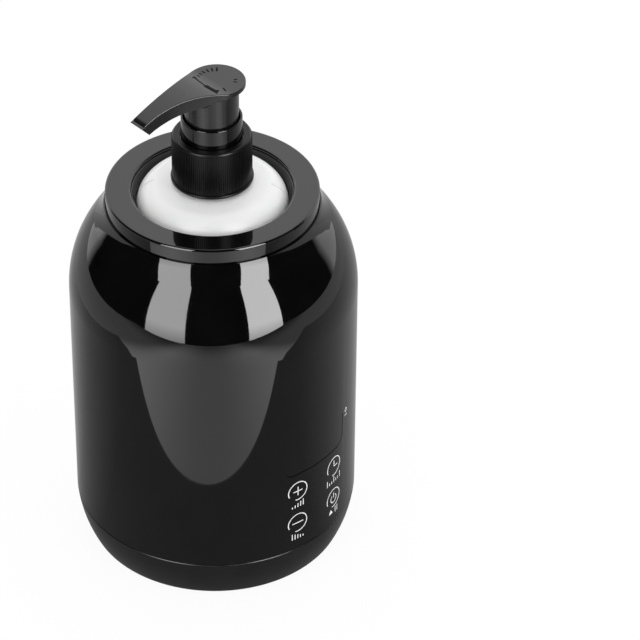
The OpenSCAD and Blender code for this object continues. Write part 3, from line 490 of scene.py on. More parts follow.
def rectangle(width: float, depth: float) -> Mesh:
    """Makes a flat rectangle about the origin.

    Args:
        width: its size along X.
        depth: its size along Y.

    Returns:
        The mesh.
    """
    mesh = bmesh.new()
    bmesh.ops.create_grid(mesh, x_segments=1, y_segments=1, size=0.5)
    bmesh.ops.scale(mesh, vec=(width, depth, 1.0), verts=mesh.verts)
    return mesh


def thicken(mesh: Mesh, rise: float) -> None:
    """Gives a flat mesh its thickness, upwards or for a negative rise downwards."""
    grown = bmesh.ops.extrude_face_region(mesh, geom=mesh.faces[:], use_keep_orig=True)
    bmesh.ops.translate(mesh, vec=(0.0, 0.0, rise), verts=verts_in(grown["geom"]))


def slice_up(mesh: Mesh, left: float, width: float, cuts: int) -> None:
    """Cuts a mesh into slices across X.

    Args:
        mesh: mesh to cut.
        left: X from which the cuts are counted.
        width: distance of the cuts.
        cuts: number of cuts.
    """
    for step in range(1, cuts + 1):
        every = mesh.verts[:] + mesh.edges[:] + mesh.faces[:]
        bmesh.ops.bisect_plane(mesh, geom=every, dist=1e-5, plane_co=(left + step * width, 0.0, 0.0),
                               plane_no=(1.0, 0.0, 0.0))


def draw_arc(mesh: Mesh, start: Vert, centre: Vector, axis: Triple, angle: float, steps: int) -> Vert:
    """Draws an arc from a vertex.

    Args:
        mesh: mesh to draw in.
        start: vertex to begin at.
        centre: centre of the arc.
        axis: axis about which it turns.
        angle: angle that it runs, in radians.
        steps: number of its pieces.

    Returns:
        The vertex at its end.
    """
    made = bmesh.ops.spin(mesh, geom=[start], cent=centre, axis=axis, angle=angle, steps=steps,
                          use_merge=False, use_duplicate=False)
    return verts_in(made["geom_last"])[0]


class Stock:
    """Turns finished meshes and carried-over nodes into dressed pieces."""

    CREASE = math.radians(40.0)

    @staticmethod
    def link(name: str, mesh: Mesh) -> bpy.types.Object:
        """Makes an object from a mesh.

        Args:
            name: the object's name.
            mesh: its finished shape, which is freed here.

        Returns:
            The new object.
        """
        data = bpy.data.meshes.new(name)
        mesh.to_mesh(data)
        mesh.free()
        made = bpy.data.objects.new(name, data)
        bpy.context.scene.collection.objects.link(made)
        return made

    @staticmethod
    def piece(name: str, mesh: Mesh, body: Body, slot: Slot, finish: Finish) -> bpy.types.Object:
        """Makes a new piece that rides on a body.

        Args:
            name: the piece's name.
            mesh: its finished shape, which is freed here.
            body: the body that it moves with.
            slot: not used.
            finish: its finish.

        Returns:
            The new object.
        """
        made = Stock.link(name, mesh)
        made.data.shade_smooth()
        made.data.set_sharp_from_angle(angle=Stock.CREASE)
        made.data.materials.append(finish.material())
        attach(made, body.value)
        LOG.info("%s: %d faces on %s", name, len(made.data.polygons), body.value)
        return made

    @staticmethod
    def stage(name: str, mesh: Mesh) -> bpy.types.Object:
        """Makes an object of the stage from a mesh.

        Args:
            name: the object's name.
            mesh: its finished shape, which is freed here.

        Returns:
            The new object.
        """
        made = Stock.link(name, mesh)
        return made

    @staticmethod
    def dress(finish: Finish, *nodes: str) -> None:
        """Gives carried-over nodes a finish.

        Args:
            finish: the finish.
            nodes: names of the nodes.
        """
        for name in nodes:
            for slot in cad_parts[name].material_slots:
                slot.material = finish.material()
            LOG.info("%s: finish %s", name, finish.name)


class TurnedForm:
    """Half section drawn from point to point in millimetres, then spun about the Z axis."""

    def __init__(self, r: float, z: float) -> None:
        """Starts the section at a radius and a height."""
        self.mesh = bmesh.new()
        self.tip = self.first = self.mesh.verts.new((r, 0.0, z))

    def line(self, r: float, z: float) -> "TurnedForm":
        """Draws a straight line.

        Args:
            r: radius of its end.
            z: height of its end.

        Returns:
            This form.
        """
        new = self.mesh.verts.new((r, 0.0, z))
        self.mesh.edges.new((self.tip, new))
        self.tip = new
        return self

    def arc(self, r: float, z: float, sweep: float, steps: int = 6) -> "TurnedForm":
        """Draws an arc about a radius and height, by degrees that turn from outwards to upwards."""
        self.tip = draw_arc(self.mesh, self.tip, (r, 0.0, z), (0.0, -1.0, 0.0), math.radians(sweep), steps)
        return self

    def close(self) -> "TurnedForm":
        """Joins the section's end to its start, and returns this form."""
        self.mesh.edges.new((self.tip, self.first))
        return self

    def turn(self, steps: int = 144) -> Mesh:
        """Spins the section all the way round.

        Args:
            steps: number of steps in the round.

        Returns:
            The form in metres.
        """
        bmesh.ops.spin(self.mesh, geom=self.mesh.verts[:] + self.mesh.edges[:], cent=ORIGIN, axis=UP,
                       angle=math.tau, steps=steps, use_merge=True, use_duplicate=False)
        bmesh.ops.remove_doubles(self.mesh, verts=self.mesh.verts, dist=MERGE)
        bmesh.ops.recalc_face_normals(self.mesh, faces=self.mesh.faces)
        settle(self.mesh, Matrix())
        return self.mesh


class FlatArt:
    """Flat signs drawn in a plane, in millimetres, then wrapped on the body or laid on a flat."""

    SLICE = 0.5
    ARC_STEP = 6.0
    CORNER = 0.2

    def __init__(self) -> None:
        """Starts with an empty plane."""
        self.mesh = bmesh.new()

    def arc(self, x: float, y: float, radius: float, stroke: float, start: float, sweep: float) -> "FlatArt":
        """Draws a stroke along part of a circle.

        Args:
            x: centre, to the right.
            y: centre, upwards.
            radius: radius of the stroke's middle.
            stroke: width of the stroke.
            start: angle of its first end in degrees, from the right.
            sweep: degrees that it runs, turning left.

        Returns:
            This art.
        """
        heading = Vector((math.cos(math.radians(start)), math.sin(math.radians(start)), 0.0))
        centre = Vector((x, y, 0.0))
        ends = [self.mesh.verts.new(centre + heading * (radius + side * stroke / 2.0)) for side in (-1, 1)]
        first = self.mesh.edges.new(ends)
        bmesh.ops.spin(self.mesh, geom=[*ends, first], cent=centre, axis=UP, angle=math.radians(sweep),
                       steps=max(6, int(sweep / self.ARC_STEP)), use_merge=sweep >= 360.0,
                       use_duplicate=False)
        return self

    def bar(self, x: float, y: float, length: float, stroke: float, turn: float = 0.0) -> "FlatArt":
        """Draws a bar with softened corners.

        Args:
            x: centre, to the right.
            y: centre, upwards.
            length: its length.
            stroke: its width.
            turn: degrees that it is turned from lying level.

        Returns:
            This art.
        """
        made = bmesh.ops.create_grid(self.mesh, x_segments=1, y_segments=1, size=0.5)["verts"]
        bmesh.ops.scale(self.mesh, vec=(length, stroke, 1.0), verts=made)
        rounded = bmesh.ops.bevel(self.mesh, geom=made, offset=stroke * self.CORNER, segments=3, profile=0.5,
                                  affect="VERTICES", material=-1)
        verts = list({v for f in rounded["faces"] for v in f.verts} | {v for v in made if v.is_valid}
                     | set(rounded["verts"]))
        bmesh.ops.transform(self.mesh, matrix=Matrix.Translation((x, y, 0.0)) @ turned(turn), verts=verts)
        return self

    def dot(self, x: float, y: float, radius: float, sides: int, turn: float) -> "FlatArt":
        """Draws a filled regular shape.

        Args:
            x: centre, to the right.
            y: centre, upwards.
            radius: its radius.
            sides: number of its sides.
            turn: degrees that it is turned.

        Returns:
            This art.
        """
        place = Matrix.Translation((x, y, 0.0)) @ turned(turn)
        bmesh.ops.create_circle(self.mesh, cap_ends=True, segments=sides, radius=radius, matrix=place)
        return self

    def wrap(self, radius: float, lift: float) -> Mesh:
        """Slices the art upright and lays it on the front of a round wall.

        Args:
            radius: radius of the wall.
            lift: thickness of the print.

        Returns:
            The wrapped art in metres.
        """
        bmesh.ops.remove_doubles(self.mesh, verts=self.mesh.verts, dist=MERGE)
        left = min(v.co.x for v in self.mesh.verts)
        right = max(v.co.x for v in self.mesh.verts)
        slice_up(self.mesh, left, self.SLICE, int((right - left) / self.SLICE))
        thicken(self.mesh, lift)
        for vert in self.mesh.verts:
            reach = radius + vert.co.z
            vert.co = Vector((vert.co.x, -math.sqrt(reach * reach - vert.co.x ** 2), vert.co.y)) * MM
        bmesh.ops.recalc_face_normals(self.mesh, faces=self.mesh.faces)
        return self.mesh

    def lay(self, node: str, turn: float, lift: float) -> Mesh:
        """Lays the art on top of a node.

        Args:
            node: name of the node.
            turn: degrees that the art is turned about the Z axis.
            lift: thickness of the art.

        Returns:
            The laid art in metres.
        """
        ground = bmesh.new()
        ground.from_mesh(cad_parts[node].data)
        tree = BVHTree.FromBMesh(ground)
        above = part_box(node)[1][2] + lift * MM
        bmesh.ops.remove_doubles(self.mesh, verts=self.mesh.verts, dist=MERGE)
        thicken(self.mesh, lift)
        settle(self.mesh, turned(turn))
        for vert in self.mesh.verts:
            found = tree.ray_cast(Vector((vert.co.x, vert.co.y, above)), Vector((0.0, 0.0, -1.0)))[0]
            vert.co.z += found.z
        ground.free()
        bmesh.ops.recalc_face_normals(self.mesh, faces=self.mesh.faces)
        return self.mesh


@dataclass
class PhotoCamera:
    """Camera of the photograph, for a square frame.

    Attributes:
        place: its position.
        pitch: degrees that it looks down.
        turn: degrees that it is turned about Z from looking along +Y.
        roll: degrees that it is rolled.
        lens: focal length for the sensor.
        sensor: width of the sensor.
        reach: distance in metres up to which it sees.
    """

    place: Triple = (-681.14, -674.32, 828.65)
    pitch: float = 37.74
    turn: float = -47.5
    roll: float = 0.637
    lens: float = 195.08
    sensor: float = 36.0
    reach: float = 50.0

    def build(self) -> None:
        """Makes the camera and hands it to the scene."""
        data = bpy.data.cameras.new("photo_camera")
        data.sensor_width = self.sensor
        data.lens = self.lens
        data.clip_end = self.reach
        camera = bpy.data.objects.new("photo_camera", data)
        bpy.context.scene.collection.objects.link(camera)
        looking = turned(self.turn) @ turned(90.0 - self.pitch, "X") @ turned(self.roll)
        camera.matrix_world = Matrix.Translation(Vector(self.place) * MM) @ looking
        bpy.context.scene.camera = camera
        LOG.info("camera set")


def mirrored_sheet(name: str, mesh: Mesh, light: Light) -> None:
    """Makes a glowing sheet of the stage that only the gloss mirrors.

    Args:
        name: its name.
        mesh: its mesh in metres.
        light: gives the brightness over the sheet.
    """
    made = Stock.stage(name, mesh)
    for ray in ("visible_camera", "visible_diffuse", "visible_shadow", "visible_volume_scatter"):
        setattr(made, ray, False)
    material = bpy.data.materials.new(name)
    sheet = Sheet.fresh(material)
    strength = light(sheet, sheet.add("ShaderNodeTexCoord").outputs["Object"])
    sheet.close(sheet.fill(sheet.add("ShaderNodeEmission"), {"Strength": strength}))
    made.data.materials.append(material)


@dataclass
class Softbox:
    """A softbox that stands round the object.

    Attributes:
        name: its name.
        bearing: degrees from the camera's direction, positive to the camera's right.
        width: its width.
        radiance: brightness of its face, as the gloss mirrors it.
        ends: heights of its lower and upper edge.
        distance: distance from the axis.
        lamp_share: share of that brightness with which the lamp lights matt surfaces.
        fade: height at which the face reaches its full brightness.
        low_share: share of its brightness at the lower edge.
    """

    name: str
    bearing: float
    width: float
    radiance: float
    ends: Pair = (-240.0, 2100.0)
    distance: float = 1600.0
    lamp_share: float = 0.22
    fade: float = 150.0
    low_share: float = 0.5

    def build(self, outward: Vector) -> None:
        """Makes the area lamp and the face in front of it.

        Args:
            outward: level direction from the axis to the softbox.
        """
        data = bpy.data.lights.new(self.name, "AREA")
        data.shape = "RECTANGLE"
        data.size = self.width * MM
        data.size_y = (self.ends[1] - self.ends[0]) * MM
        data.energy = self.lamp_share * self.radiance * math.pi * data.size * data.size_y
        lamp = bpy.data.objects.new(self.name, data)
        lamp.visible_glossy = False
        bpy.context.scene.collection.objects.link(lamp)
        middle = Vector((0.0, 0.0, sum(self.ends) / 2.0))
        facing = (-outward).to_track_quat("-Z", "Y").to_matrix().to_4x4()
        lamp.matrix_world = Matrix.Translation((outward * self.distance + middle) * MM) @ facing
        mesh = rectangle(data.size, data.size_y)
        bmesh.ops.transform(mesh, matrix=lamp.matrix_world, verts=mesh.verts)
        mirrored_sheet(self.name + "_face", mesh, self.light)

    def light(self, sheet: Sheet, place: Socket) -> Socket:
        """Gives the face's brightness, which fades towards its lower edge."""
        faint = self.low_share * self.radiance
        return sheet.span(sheet.dot(place, UP), self.ends[0] * MM, self.fade * MM, faint, self.radiance)


@dataclass
class Studio:
    """Pale floor, white surround, softboxes and the sheets on the floor that the gloss mirrors.

    A ramp holds where it starts, where it ends, and its value at each. Its places are metres, or 1 straight
    towards a bearing and -1 away from it.

    Attributes:
        camera_turn: degrees that the camera is turned about Z.
        floor_half: half of the floor's side.
        floor_z: height of the floor, just under the feet.
        floor_tone: colour of its matt surface.
        floor_white: share of plain white that the camera sees in the floor.
        far: place at which both sheets begin, measured towards the camera.
        sheet_turn: degrees that both sheets are turned from facing the camera.
        table_edge: distance in front of the axis at which the dim table ends and the pale sweep shows.
        table_sides: left and right edge of the table.
        table_z: height of the table.
        table_left: bearing and ramp of the table's light from the left behind.
        table_right: bearing and ramp of the table's light from the right behind.
        sweep_end: distance in front of the axis at which the sweep ends.
        sweep_sides: left and right edge of the sweep.
        sweep_z: height of the sweep.
        sweep_grown: ramp of the sweep's light away from its middle line.
        sweep_ends: ramp of the share that is left of it at the sides.
        sweep_near: ramp of the share that is left of it towards the camera.
        back: bearing of the white surround behind.
        mirrored: ramp of the surround towards the back, as the gloss mirrors it.
        soft: ramp of the surround towards the back, as it lights matt surfaces.
        overhead: ramp upwards of the factor on that soft light.
        softboxes: the lamps.
    """

    camera_turn: float = -47.5
    floor_half: float = 4000.0
    floor_z: float = -0.05
    floor_tone: Colour = (0.86, 0.86, 0.86)
    floor_white: float = 0.93
    far: float = -900.0
    sheet_turn: float = -4.0
    table_edge: float = 112.5
    table_sides: Pair = (-236.0, 360.0)
    table_z: float = 0.6
    table_left: tuple[float, Ramp] = (-140.0, (0.3, 0.95, 0.18, 0.36))
    table_right: tuple[float, Ramp] = (160.0, (-0.15, 0.9, 0.0, 0.28))
    sweep_end: float = 530.0
    sweep_sides: Pair = (-700.0, 1000.0)
    sweep_z: float = 0.3
    sweep_grown: Ramp = (0.01, 0.15, 0.82, 1.5)
    sweep_ends: Ramp = (0.13, 0.25, 1.0, 0.34)
    sweep_near: Ramp = (0.26, 0.46, 1.0, 0.4)
    back: float = 176.5
    mirrored: Ramp = (0.36, 0.5, 0.004, 1.6)
    soft: Ramp = (-0.2, 1.0, 0.54, 0.95)
    overhead: Ramp = (0.1, 0.9, 0.9, 2.6)
    softboxes: tuple[Softbox, ...] = (
        Softbox("left_softbox", -34.0, 880.0, 6.3),
        Softbox("right_softbox", 40.5, 760.0, 9.6),
    )

    def build(self) -> None:
        """Builds the floor, the mirrored sheets, the lamps and the world."""
        bpy.context.scene.view_settings.view_transform = "Standard"
        self.floor()
        table = self.plane(self.table_sides, (self.far, self.table_edge), self.table_z, self.sheet_turn)
        sweep = self.plane(self.sweep_sides, (self.far, self.sweep_end), self.sweep_z, self.sheet_turn)
        mirrored_sheet("table_card", table, self.table_light)
        mirrored_sheet("sweep_card", sweep, self.sweep_light)
        for box in self.softboxes:
            box.build(self.heading(box.bearing))
        self.world()
        LOG.info("studio built")

    def heading(self, bearing: float) -> Vector:
        """Gives the level direction at a bearing from the camera, positive to its right."""
        angle = math.radians(self.camera_turn - 90.0 + bearing)
        return Vector((math.cos(angle), math.sin(angle), 0.0))

    def towards(self, sheet: Sheet, place: Socket, bearing: float) -> Socket:
        """Tells how far a place lies towards a bearing, 1 straight there and -1 opposite.

        Args:
            sheet: sheet to add the nodes to.
            place: coordinates of the place.
            bearing: degrees from the camera's direction.

        Returns:
            The value's socket.
        """
        level = sheet.add("ShaderNodeVectorMath", place, (1.0, 1.0, 0.0), operation="MULTIPLY")
        unit = sheet.add("ShaderNodeVectorMath", level.outputs["Vector"], operation="NORMALIZE")
        return sheet.dot(unit.outputs["Vector"], self.heading(bearing))

    def plane(self, sides: Pair, depth: Pair, z: float, turn: float) -> Mesh:
        """Makes the mesh of a level sheet.

        Args:
            sides: its left and right edge as the camera sees them.
            depth: its far and near edge, measured towards the camera.
            z: its height.
            turn: degrees that it is turned from facing the camera.

        Returns:
            The mesh in metres.
        """
        mesh = rectangle(sides[1] - sides[0], depth[1] - depth[0])
        bmesh.ops.translate(mesh, vec=(sum(sides) / 2.0, -sum(depth) / 2.0, z), verts=mesh.verts)
        settle(mesh, turned(self.camera_turn + turn))
        return mesh

    def floor(self) -> None:
        """Makes the pale floor, white to the camera and with the object's shadow on it."""
        sides = (-self.floor_half, self.floor_half)
        made = Stock.stage("floor", self.plane(sides, sides, self.floor_z, 0.0))
        made.visible_glossy = False
        material = bpy.data.materials.new("pale_floor")
        sheet = Sheet.fresh(material)
        path = sheet.add("ShaderNodeLightPath")
        matt = sheet.add("ShaderNodeBsdfDiffuse", (*self.floor_tone, 1.0))
        glow = sheet.add("ShaderNodeEmission")
        white = sheet.maths("MULTIPLY", path.outputs["Is Camera Ray"], self.floor_white)
        sheet.close(sheet.add("ShaderNodeMixShader", white, matt.outputs[0], glow.outputs[0]))
        made.data.materials.append(material)

    def table_light(self, sheet: Sheet, place: Socket) -> Socket:
        """Gives the dim table's brightness, which grows towards the white surround behind."""
        ways = (self.table_left, self.table_right)
        return sheet.maths("ADD", *(sheet.span(self.towards(sheet, place, way), *ramp) for way, ramp in ways))

    def sweep_light(self, sheet: Sheet, place: Socket) -> Socket:
        """Gives the pale sweep's brightness, which grows to its sides and fades towards the camera.

        Args:
            sheet: the material's sheet.
            place: coordinates on the sweep.

        Returns:
            The brightness's socket.
        """
        apart = sheet.maths("ABSOLUTE", sheet.dot(place, self.heading(90.0)))
        grown = sheet.span(apart, *self.sweep_grown, "SMOOTHSTEP")
        ends = sheet.span(apart, *self.sweep_ends, "SMOOTHSTEP")
        near = sheet.span(sheet.dot(place, self.heading(0.0)), *self.sweep_near)
        return sheet.maths("MULTIPLY", sheet.maths("MULTIPLY", grown, ends), near)

    def world(self) -> None:
        """Makes the surround: white to the camera, dark in front of the gloss and white behind it."""
        world = bpy.data.worlds.new("studio")
        bpy.context.scene.world = world
        sheet = Sheet.fresh(world)
        path = sheet.add("ShaderNodeLightPath").outputs
        way = sheet.add("ShaderNodeTexCoord").outputs["Generated"]
        behind = self.towards(sheet, way, self.back)
        mirrored = sheet.span(behind, *self.mirrored)
        above = sheet.span(sheet.dot(way, UP), *self.overhead)
        soft = sheet.maths("MULTIPLY", sheet.span(behind, *self.soft), above)
        mirror_ray = sheet.maths("MAXIMUM", path["Is Glossy Ray"], path["Is Transmission Ray"])
        unseen = sheet.span(mirror_ray, 0.0, 1.0, soft, mirrored)
        strength = sheet.span(path["Is Camera Ray"], 0.0, 1.0, unseen, 1.0)
        glow = sheet.fill(sheet.add("ShaderNodeBackground"), {"Strength": strength})
        sheet.close(glow, "ShaderNodeOutputWorld")


@dataclass
class Panel:
    """Printed touch keys and their notes on the front of the shell, the window's seal, and a painted shade
    line by the window.

    Attributes:
        wall_r: radius of the shell's wall.
        key_x: distance of a key from the middle line.
        key_z: heights of the upper and the lower pair of keys.
        ring: radius of a key's ring, and the angle and sweep of its stroke.
        stroke: width of a fine line.
        plus_w: width of the plus.
        minus_w: width of the minus.
        hands: distance from the centre and length of the clock's upright and level hand.
        power: height and radius of the power sign's ring, and the angle and sweep of its stroke.
        power_bar: height and length of the power sign's bar.
        note_drop: distance of a note's middle below its key's centre.
        note_h: height of a note.
        heat_pitch: distance of the bars that stand for more or less heat.
        heat_bars: their heights as shares of the note's.
        hour_pitch: distance of the bars that stand for passing time.
        hour_bars: their heights as shares of the note's.
        start_x: distances of the triangle and the two bars of the start's note.
        degree: place of the small ring by the window.
        degree_ring: radius and stroke of that ring.
        degree_bar: height, length and stroke of the short bar below it.
        ink_t: thickness of the ink.
        window: width and height of the window.
        window_z: height of the window's centre.
        window_gap: gap round the window.
        window_corner: radius of the window's corners.
        seal_t: depth of the seal in that gap, and how far it stays below the wall.
        shade_w: width of the painted shade line round the window's lower right, which stands for the gap's
            shadow.
        shade_t: thickness of that line.
        shade_up: how far it runs up the right side.
    """

    wall_r: float = 50.0
    key_x: float = 9.2
    key_z: Pair = (43.0, 28.5)
    ring: Triple = (3.9, 255.0, 310.0)
    stroke: float = 0.37
    plus_w: float = 3.8
    minus_w: float = 4.6
    hands: tuple[Pair, Pair] = ((1.3, 2.6), (1.2, 2.0))
    power: Quad = (-0.3, 1.7, 125.0, 290.0)
    power_bar: Pair = (1.2, 2.2)
    note_drop: float = 6.0
    note_h: float = 2.7
    heat_pitch: float = 1.15
    heat_bars: tuple[float, ...] = (0.3, 0.475, 0.65, 0.825, 1.0)
    hour_pitch: float = 1.3
    hour_bars: tuple[float, ...] = (1.0, 0.45, 0.45, 1.0, 0.45, 0.45, 1.0)
    start_x: Triple = (-1.6, 1.2, 2.4)
    degree: Pair = (17.4, 62.6)
    degree_ring: Pair = (0.7, 0.3)
    degree_bar: Triple = (60.4, 1.6, 0.35)
    ink_t: float = 0.02
    window: Pair = (29.2, 23.0)
    window_z: float = 62.2
    window_gap: float = 0.2
    window_corner: float = 3.5
    seal_t: Pair = (0.3, 0.29)
    shade_w: float = 0.4
    shade_t: float = 0.012
    shade_up: float = 9.0

    def build(self) -> None:
        """Prints the keys and their notes, and draws the seal and the painted shade line round the window."""
        left, right = -self.key_x, self.key_x
        high, low = self.key_z
        below_high, below_low = high - self.note_drop, low - self.note_drop
        signs = {
            "key_plus": self.plus(left, high),
            "key_minus": self.circled(left, low).bar(left, low, self.minus_w, self.stroke),
            "key_clock": self.clock(right, high),
            "key_power": self.switch(right, low),
            "note_warmer": self.scale(left, below_high, self.heat_pitch, self.heat_bars),
            "note_cooler": self.scale(left, below_low, self.heat_pitch, self.heat_bars[::-1]),
            "note_time": self.scale(right, below_high, self.hour_pitch, self.hour_bars),
            "note_start": self.start(right, below_low),
            "degree_mark": self.degree_mark(),
        }
        for name, art in signs.items():
            Stock.piece(name, art.wrap(self.wall_r, self.ink_t), Body.WARMER, Slot.WHITE, Finishes.INK)
        self.window_lines()

    def circled(self, x: float, z: float) -> FlatArt:
        """Draws the open ring round a key."""
        radius, start, sweep = self.ring
        return FlatArt().arc(x, z, radius, self.stroke, start, sweep)

    def upright(self, art: FlatArt, x: float, z: float, height: float) -> FlatArt:
        """Draws an upright bar on some art, about a place."""
        return art.bar(x, z, height, self.stroke, 90.0)

    def plus(self, x: float, z: float) -> FlatArt:
        """Draws the key that asks for more heat.

        Args:
            x: the key's centre, to the right.
            z: the key's centre, upwards.

        Returns:
            The art.
        """
        arm = (self.plus_w - self.stroke) / 2.0
        away = (arm + self.stroke) / 2.0
        art = self.circled(x, z).bar(x, z, self.plus_w, self.stroke)
        return self.upright(self.upright(art, x, z + away, arm), x, z - away, arm)

    def clock(self, x: float, z: float) -> FlatArt:
        """Draws the timer's key about a place, with the two hands of a clock."""
        (up, up_l), (aside, aside_l) = self.hands
        return self.upright(self.circled(x, z), x, z + up, up_l).bar(x + aside, z, aside_l, self.stroke)

    def switch(self, x: float, z: float) -> FlatArt:
        """Draws the on and off key about a place, an open ring with a bar.

        Args:
            x: the key's centre, to the right.
            z: the key's centre, upwards.

        Returns:
            The art.
        """
        rise, radius, start, sweep = self.power
        art = self.circled(x, z).arc(x, z + rise, radius, self.stroke, start, sweep)
        return self.upright(art, x, z + self.power_bar[0], self.power_bar[1])

    def scale(self, x: float, z: float, pitch: float, shares: tuple[float, ...]) -> FlatArt:
        """Draws a note of upright bars that stand on one line.

        Args:
            x: the note's centre, to the right.
            z: the note's centre, upwards.
            pitch: distance of the bars.
            shares: their heights as shares of the note's height.

        Returns:
            The art.
        """
        art = FlatArt()
        for step, share in enumerate(shares, start=-(len(shares) // 2)):
            height = self.note_h * share
            self.upright(art, x + pitch * step, z + (height - self.note_h) / 2.0, height)
        return art

    def start(self, x: float, z: float) -> FlatArt:
        """Draws a triangle and two upright bars.

        Args:
            x: the note's centre, to the right.
            z: the note's centre, upwards.

        Returns:
            The art.
        """
        corner, *bars = self.start_x
        art = FlatArt().dot(x + corner, z, self.note_h / 2.0, 3, 0.0)
        for aside in bars:
            self.upright(art, x + aside, z, self.note_h)
        return art

    def degree_mark(self) -> FlatArt:
        """Draws the small ring by the window, with a short bar below it."""
        art = FlatArt().arc(*self.degree, *self.degree_ring, 0.0, 360.0)
        return art.bar(self.degree[0], *self.degree_bar)

    def window_lines(self) -> None:
        """Fills the gap round the window with its seal and draws a painted shade line round its lower right.
        """
        half_w, half_h = [(size + self.window_gap) / 2.0 for size in self.window]
        corner = self.window_corner + self.window_gap / 2.0
        flat_w, flat_h = half_w - corner, half_h - corner
        seal = FlatArt()
        for side in (-1.0, 1.0):
            seal.bar(0.0, self.window_z + side * half_h, 2.0 * flat_w, self.window_gap)
            seal.bar(side * half_w, self.window_z, 2.0 * flat_h, self.window_gap, 90.0)
        for x, z, angle in ((1, 1, 0.0), (-1, 1, 90.0), (-1, -1, 180.0), (1, -1, 270.0)):
            seal.arc(x * flat_w, self.window_z + z * flat_h, corner, self.window_gap, angle, 90.0)
        under = self.window_z - half_h
        # Painted shade: a near-black strip over the gap and the wall's edge below and right of the window,
        # where the gap's shadow falls.
        shade = FlatArt().bar(0.0, under, 2.0 * flat_w, self.shade_w)
        shade.arc(-flat_w, under + corner, corner, self.shade_w, 225.0, 45.0)
        shade.arc(flat_w, under + corner, corner, self.shade_w, 270.0, 90.0)
        shade.bar(half_w, under + corner + self.shade_up / 2.0, self.shade_up, self.shade_w, 90.0)
        sunk = seal.wrap(self.wall_r - self.seal_t[0], self.seal_t[1])
        Stock.piece("window_seal", sunk, Body.WARMER, Slot.SHELL, Finishes.SHELL)
        drawn = shade.wrap(self.wall_r, self.shade_t)
        Stock.piece("window_shade_line", drawn, Body.WARMER, Slot.SHELL, Finishes.SHADE)


@dataclass
class Housing:
    """The warmer's own pieces: shell, base, rim, well and what they hold.

    Attributes:
        pin_r: radius of the plating on the socket's pin.
        pin_tip: rounding of its tip.
        pin_ends: near and far end of that plating along Y.
        inlet_z: height of the socket.
        plate: length, width and thickness of the bare plate under the base.
        plate_corner: radius of that plate's corners.
        base_z: height of the base's underside.
        lining: inner and outer radius of the lining in the rim's bore.
        lining_ends: lower and upper end of that lining.
        lip: radius and height of the edge of its lip, which leads the bottle in.
        lip_t: thickness of that edge.
    """

    pin_r: float = 1.05
    pin_tip: float = 0.63
    pin_ends: Pair = (41.0, 48.0)
    inlet_z: float = 36.0
    plate: Triple = (38.0, 21.0, 0.25)
    plate_corner: float = 2.5
    base_z: float = 0.9
    lining: Pair = (27.3, 27.7)
    lining_ends: Pair = (138.3, 142.9)
    lip: Pair = (26.12, 139.6)
    lip_t: float = 0.3

    def build(self) -> None:
        """Dresses the housing's nodes, plates the socket's pin, and adds the bare plate and the lining."""
        Stock.dress(Finishes.SHELL, "outer_shell", "rim_ring")
        Stock.dress(Finishes.BASE, "base_cover")
        Stock.dress(Finishes.WINDOW, "display_window")
        Stock.dress(Finishes.SEAL, "well_seal")
        Stock.dress(Finishes.WELL, "heating_well")
        Stock.dress(Finishes.FOOT, "rubber_feet")
        Stock.dress(Finishes.INLET, "power_inlet", "buzzer")
        Stock.dress(Finishes.ZINC, "rim_screws", "base_screws", "board_screws", "inlet_nut")
        Stock.dress(Finishes.FILM, "heating_film")
        Stock.dress(Finishes.FELT, "insulation_sleeve", "insulation_pad")
        Stock.dress(Finishes.EPOXY, "thermistor")
        Stock.dress(Finishes.CASE, "thermal_fuse")
        Stock.dress(Finishes.RED_LEAD, "heater_leads")
        Stock.dress(Finishes.BLACK_LEAD, "inlet_leads")
        Stock.dress(Finishes.SEGMENTS, "display_module")
        Stock.dress(Finishes.BOARD, "control_board")
        Stock.dress(Finishes.STEEL, "touch_springs")
        self.plated_pin()
        self.bare_plate()
        self.bore_lining()

    def plated_pin(self) -> None:
        """Makes the plating on the socket's pin, with a rounded tip."""
        near, far = self.pin_ends
        mesh = bmesh.new()
        bmesh.ops.create_cone(mesh, cap_ends=True, segments=32, radius1=self.pin_r, radius2=self.pin_r,
                              depth=far - near)
        tip = [e for e in mesh.edges if all(v.co.z > 0.0 for v in e.verts)]
        bmesh.ops.bevel(mesh, geom=tip, offset=self.pin_tip, segments=5, profile=0.5,
                        affect="EDGES", material=-1)
        settle(mesh, Matrix.Translation((0.0, (near + far) / 2.0, self.inlet_z)) @ turned(-90.0, "X"))
        Stock.piece("plated_pin", mesh, Body.WARMER, Slot.STEEL, Finishes.STEEL)

    def bare_plate(self) -> None:
        """Makes the bare plate on the underside, where a rating would stand."""
        length, width, thickness = self.plate
        mesh = rectangle(length, width)
        bmesh.ops.bevel(mesh, geom=mesh.verts[:], offset=self.plate_corner, segments=6, profile=0.5,
                        affect="VERTICES", material=-1)
        thicken(mesh, -thickness)
        settle(mesh, Matrix.Translation((0.0, 0.0, self.base_z)))
        bmesh.ops.recalc_face_normals(mesh, faces=mesh.faces)
        Stock.piece("bare_plate", mesh, Body.WARMER, Slot.FOIL, Finishes.FOIL)

    def bore_lining(self) -> None:
        """Turns the thin lining of the rim's bore, with a rounded upper edge and a slanted lip."""
        inner, outer = self.lining
        edge_z = self.lining_ends[1] - (outer - inner) / 2.0
        form = TurnedForm(outer, self.lining_ends[0]).line(self.lip[0], self.lip[1] - self.lip_t)
        form.line(*self.lip).line(inner, edge_z).arc((inner + outer) / 2.0, edge_z, -180.0, 10).close()
        Stock.piece("bore_lining", form.turn(), Body.WARMER, Slot.SHELL, Finishes.SHELL)


